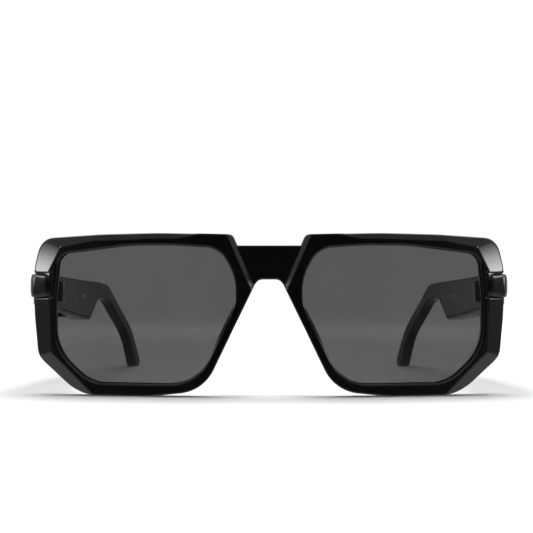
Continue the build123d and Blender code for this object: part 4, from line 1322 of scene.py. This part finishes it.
    def cover(self) -> bpy.types.Object:
        """The inner cover: a plate in the shell's seat with softened edges."""
        sizes, edge = self.sizes, self.cover_round
        ends = np.array([0.0, 0.04, 0.1, 0.17, 0.25])
        y = np.sort(np.concatenate([
            sizes.cover_start + ends, sizes.cover_end - ends,
            np.linspace(sizes.cover_start + 0.6, sizes.deep, 56),
            np.linspace(sizes.deep + 0.5, sizes.cover_end - 0.5, 50),
        ]))
        low, high = sizes.edges(y, sizes.lip + sizes.play)
        near = edge_drop(np.minimum(y - sizes.cover_start, sizes.cover_end - y), edge)
        thick = sizes.cover_thickness
        corners = sections((near, low), (thick, low), (thick, high), (near, high))
        loops = rounded_loops(corners, np.array([edge, 0.05, 0.05, edge]), 6)
        return self.solid(f"cover_plate_{self.side.tag}", y, loops)

    def arm(self) -> bpy.types.Object:
        """The arm: rounded sections between its upper and lower edges, closed round the tip."""
        sizes = self.sizes
        reach, start = sizes.reach, sizes.arm_start
        bend = start + 9.5
        upper = open_path([
            ((start, sizes.arm_top), 0.0), ((bend, sizes.arm_top - 0.3), 32.0),
            ((reach - 12.2, 18.2), 40.0), ((reach - 0.45, 2.6), 2.9), ((reach - 2.0, 0.0), 2.0),
            ((reach - 4.2, 0.0), 0.0),
        ])
        lower = open_path([
            ((start, sizes.arm_low), 0.0), ((bend + 2.5, sizes.arm_low - 1.2), 35.0),
            ((reach - 15.2, 14.2), 40.0), ((reach - 6.4, 0.0), 1.5), ((reach - 4.2, 0.0), 0.0),
        ])
        run = np.linspace(0.0, 1.0, 120)
        tail = np.sin(np.linspace(0.0, math.pi / 2, 34)[1:]) * 0.9995
        top, low = (
            resample(path, np.concatenate([run * split, split + tail * (1 - split)]))
            for path, split in ((upper, 0.885), (lower, 0.955))
        )
        length = np.linalg.norm(top - low, axis=1)
        inset = edge_drop(np.minimum(length / 2, self.tip_round + 1), self.tip_round) * 0.8
        far = sizes.arm_thickness - inset
        corners = sections((inset, 0.0), (far, 0.0), (far, length), (inset, length))
        loops = rounded_loops(corners, np.array([0.9, 1.2, 1.0, 0.7]), 8)
        share = loops[..., 1] / np.maximum(length, 1e-6)[:, None]
        edge = low[:, None] + (top - low)[:, None] * share[..., None]
        x, back = sizes.lean(loops[..., 0], edge[..., 0])
        return surface_piece(
            f"arm_shell_{self.side.tag}", np.stack([x, back, edge[..., 1]], -1), self.side
        )

    def build(self) -> None:
        """Makes the three shells and rides them on their temple."""
        tag, body = self.side.tag, f"temple_{self.side.tag}"
        settle(self.housing(), body, "temple_gloss", GLOSS_TEMPLE, f"housing_{tag}")
        settle(self.cover(), body, "cover_gloss", GLOSS_COVER, f"inner_cover_{tag}")
        settle(self.arm(), body, "arm_gloss", GLOSS_ARM, f"arm_{tag}")


# ------------------------------------------------------------------ small parts
@dataclass
class SmallParts:
    """The hinges, the electronics and the button, whose CAD shapes stay."""

    nodes: dict[str, bpy.types.Object]

    def dress(self) -> None:
        """Gives every carried-over node its finish."""
        for name, node in self.nodes.items():
            finish = NODE_FINISHES.get(name.removesuffix("_left").removesuffix("_right"))
            if finish:
                finish.dress(node)
                log.info("%s dressed in %s", name, finish.name)


# ------------------------------------------------------------------ studio
@dataclass
class Studio:
    """A pale floor, a surround, two light cards at each side, an overhead lamp and the camera."""

    shape: FrontShape
    distance: float = 260.0
    eye_height: float = 28.25
    eye_side: float = -0.8
    pitch: float = 2.6
    focal: float = 57.2
    floor_half: float = 3.0
    floor_drop: float = -2.0e-5
    front_level: float = 0.035
    ambient: float = 0.27
    seen_level: float = 1.05
    back_top: float = 2.5
    card_side: float = 190.0
    overhead_size: tuple[float, float] = (0.55, 0.4)
    overhead_power: float = 6.0
    overhead_height: float = 0.7

    def floor(self) -> None:
        """A wide floor, a touch off white, that mirrors nothing."""
        line = np.linspace(-self.floor_half, self.floor_half, 3)
        x, y = np.meshgrid(line, line)
        points = np.stack([x, y, np.full_like(x, self.floor_drop)], -1)
        index = np.arange(x.size).reshape(x.shape)
        quads = [index[:-1, :-1], index[:-1, 1:], index[1:, 1:], index[1:, :-1]]
        faces = np.stack(quads, -1).reshape(-1, 4).tolist()
        floor = linked("floor", plain_mesh("floor", points, faces))
        PaleFloor("floor_white").dress(floor)
        floor.visible_glossy = False

    def world(self) -> None:
        """White to the eye; to the lighting, dark in front, dim at the sides, white behind."""
        world = bpy.data.worlds.new("surround")
        bpy.context.scene.world = world
        world.use_nodes = True
        shader = Shader(world.node_tree)
        rise = shader.rise
        direction = shader.node("ShaderNodeTexCoord", output="Generated")
        x, y, z = (shader.node("ShaderNodeSeparateXYZ", {0: direction}, k) for k in range(3))
        side = shader.math("ABSOLUTE", x)
        up, down = rise(z, 0.12, 0.4), rise(0.0 - z, 0.15, 0.5)
        light = (
            self.front_level
            + rise(side, 0.3, 1.0) * 0.2
            + up * 0.33
            + down * 0.5
            + rise(y, 0.05, 0.6) * (1.0 - down * 0.8) * (1.0 - rise(side, 0.4, 0.8) * 0.75)
            + rise(y, 0.15, 0.5) * rise(z, 0.35, 0.65) * self.back_top
        )
        glossy = shader.node("ShaderNodeLightPath", output="Is Glossy Ray")
        camera = shader.node("ShaderNodeLightPath", output="Is Camera Ray")
        light = light * glossy + (1.0 - glossy) * self.ambient
        studio = shader.node("ShaderNodeBackground", {"Color": light, "Strength": 1.0})
        seen = shader.node(
            "ShaderNodeBackground", {"Color": grey(1.0), "Strength": self.seen_level}
        )
        both = shader.node("ShaderNodeMixShader", {0: camera, 1: studio, 2: seen})
        shader.node("ShaderNodeOutputWorld", {"Surface": both})

    def card(self, name: str, place: Triple, full: float, reach: float, level: float) -> None:
        """A soft-edged light card that stands at a side and is seen only in reflections.

        Args:
            name: the card's name.
            place: its middle in millimetres, in the shared frame.
            full: the radius inside which it is evenly bright, in millimetres.
            reach: the radius at which its light has faded out.
            level: its brightness.
        """
        corners = np.array([[0, -1, -1], [0, 1, -1], [0, 1, 1], [0, -1, 1]]) * reach
        card = linked(name, plain_mesh(name, (corners + np.array(place)) * MM, [[0, 1, 2, 3]]))
        middle = tuple(c * MM for c in place)
        Glow(name, middle, full * MM, reach * MM, level).dress(card)
        card.visible_camera = card.visible_diffuse = card.visible_shadow = False
        card.visible_transmission = False

    def lights(self) -> None:
        """Two light cards at each side and a broad overhead lamp that reflections leave out."""
        front = self.shape.front_y
        for side in Side:
            x = side.value * self.card_side
            self.card(f"corner_card_{side.tag}", (x, front - 11.0, 58.0), 9.0, 27.0, 10.5)
            self.card(f"band_card_{side.tag}", (x, front - 42.0, 101.0), 7.0, 21.0, 11.0)
        data = bpy.data.lights.new("overhead", "AREA")
        data.shape = "RECTANGLE"
        data.size, data.size_y = self.overhead_size
        data.energy = self.overhead_power
        lamp = linked("overhead", data)
        lamp.location = (0.0, front * MM + 0.08, self.overhead_height)
        lamp.visible_glossy = False

    def camera(self) -> None:
        """The camera in front of the glasses, a little over half their height."""
        data = bpy.data.cameras.new("eye")
        data.lens = self.focal
        data.sensor_width = 36.0
        eye = linked("eye", data)
        eye.location = (
            self.eye_side * MM, (self.shape.front_y - self.distance) * MM, self.eye_height * MM
        )
        eye.rotation_euler = (math.radians(90.0 + self.pitch), 0.0, 0.0)
        bpy.context.scene.camera = eye
        bpy.context.scene.view_settings.view_transform = "Standard"

    def build(self) -> None:
        """Sets up the whole studio."""
        self.floor()
        self.world()
        self.lights()
        self.camera()


def main() -> None:
    """Builds and dresses the glasses around the frame."""
    logging.basicConfig(level=logging.INFO, format="%(name)s: %(message)s")
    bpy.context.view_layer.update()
    shape = FrontShape()
    Front(shape).build()
    Lenses(shape).build()
    Bands(shape).build()
    sizes = TempleShape(shape)
    for side in Side:
        Temple(sizes, side).build()
    SmallParts(frame["nodes"]).dress()
    Studio(shape).build()


if __name__ == "__main__":
    main()
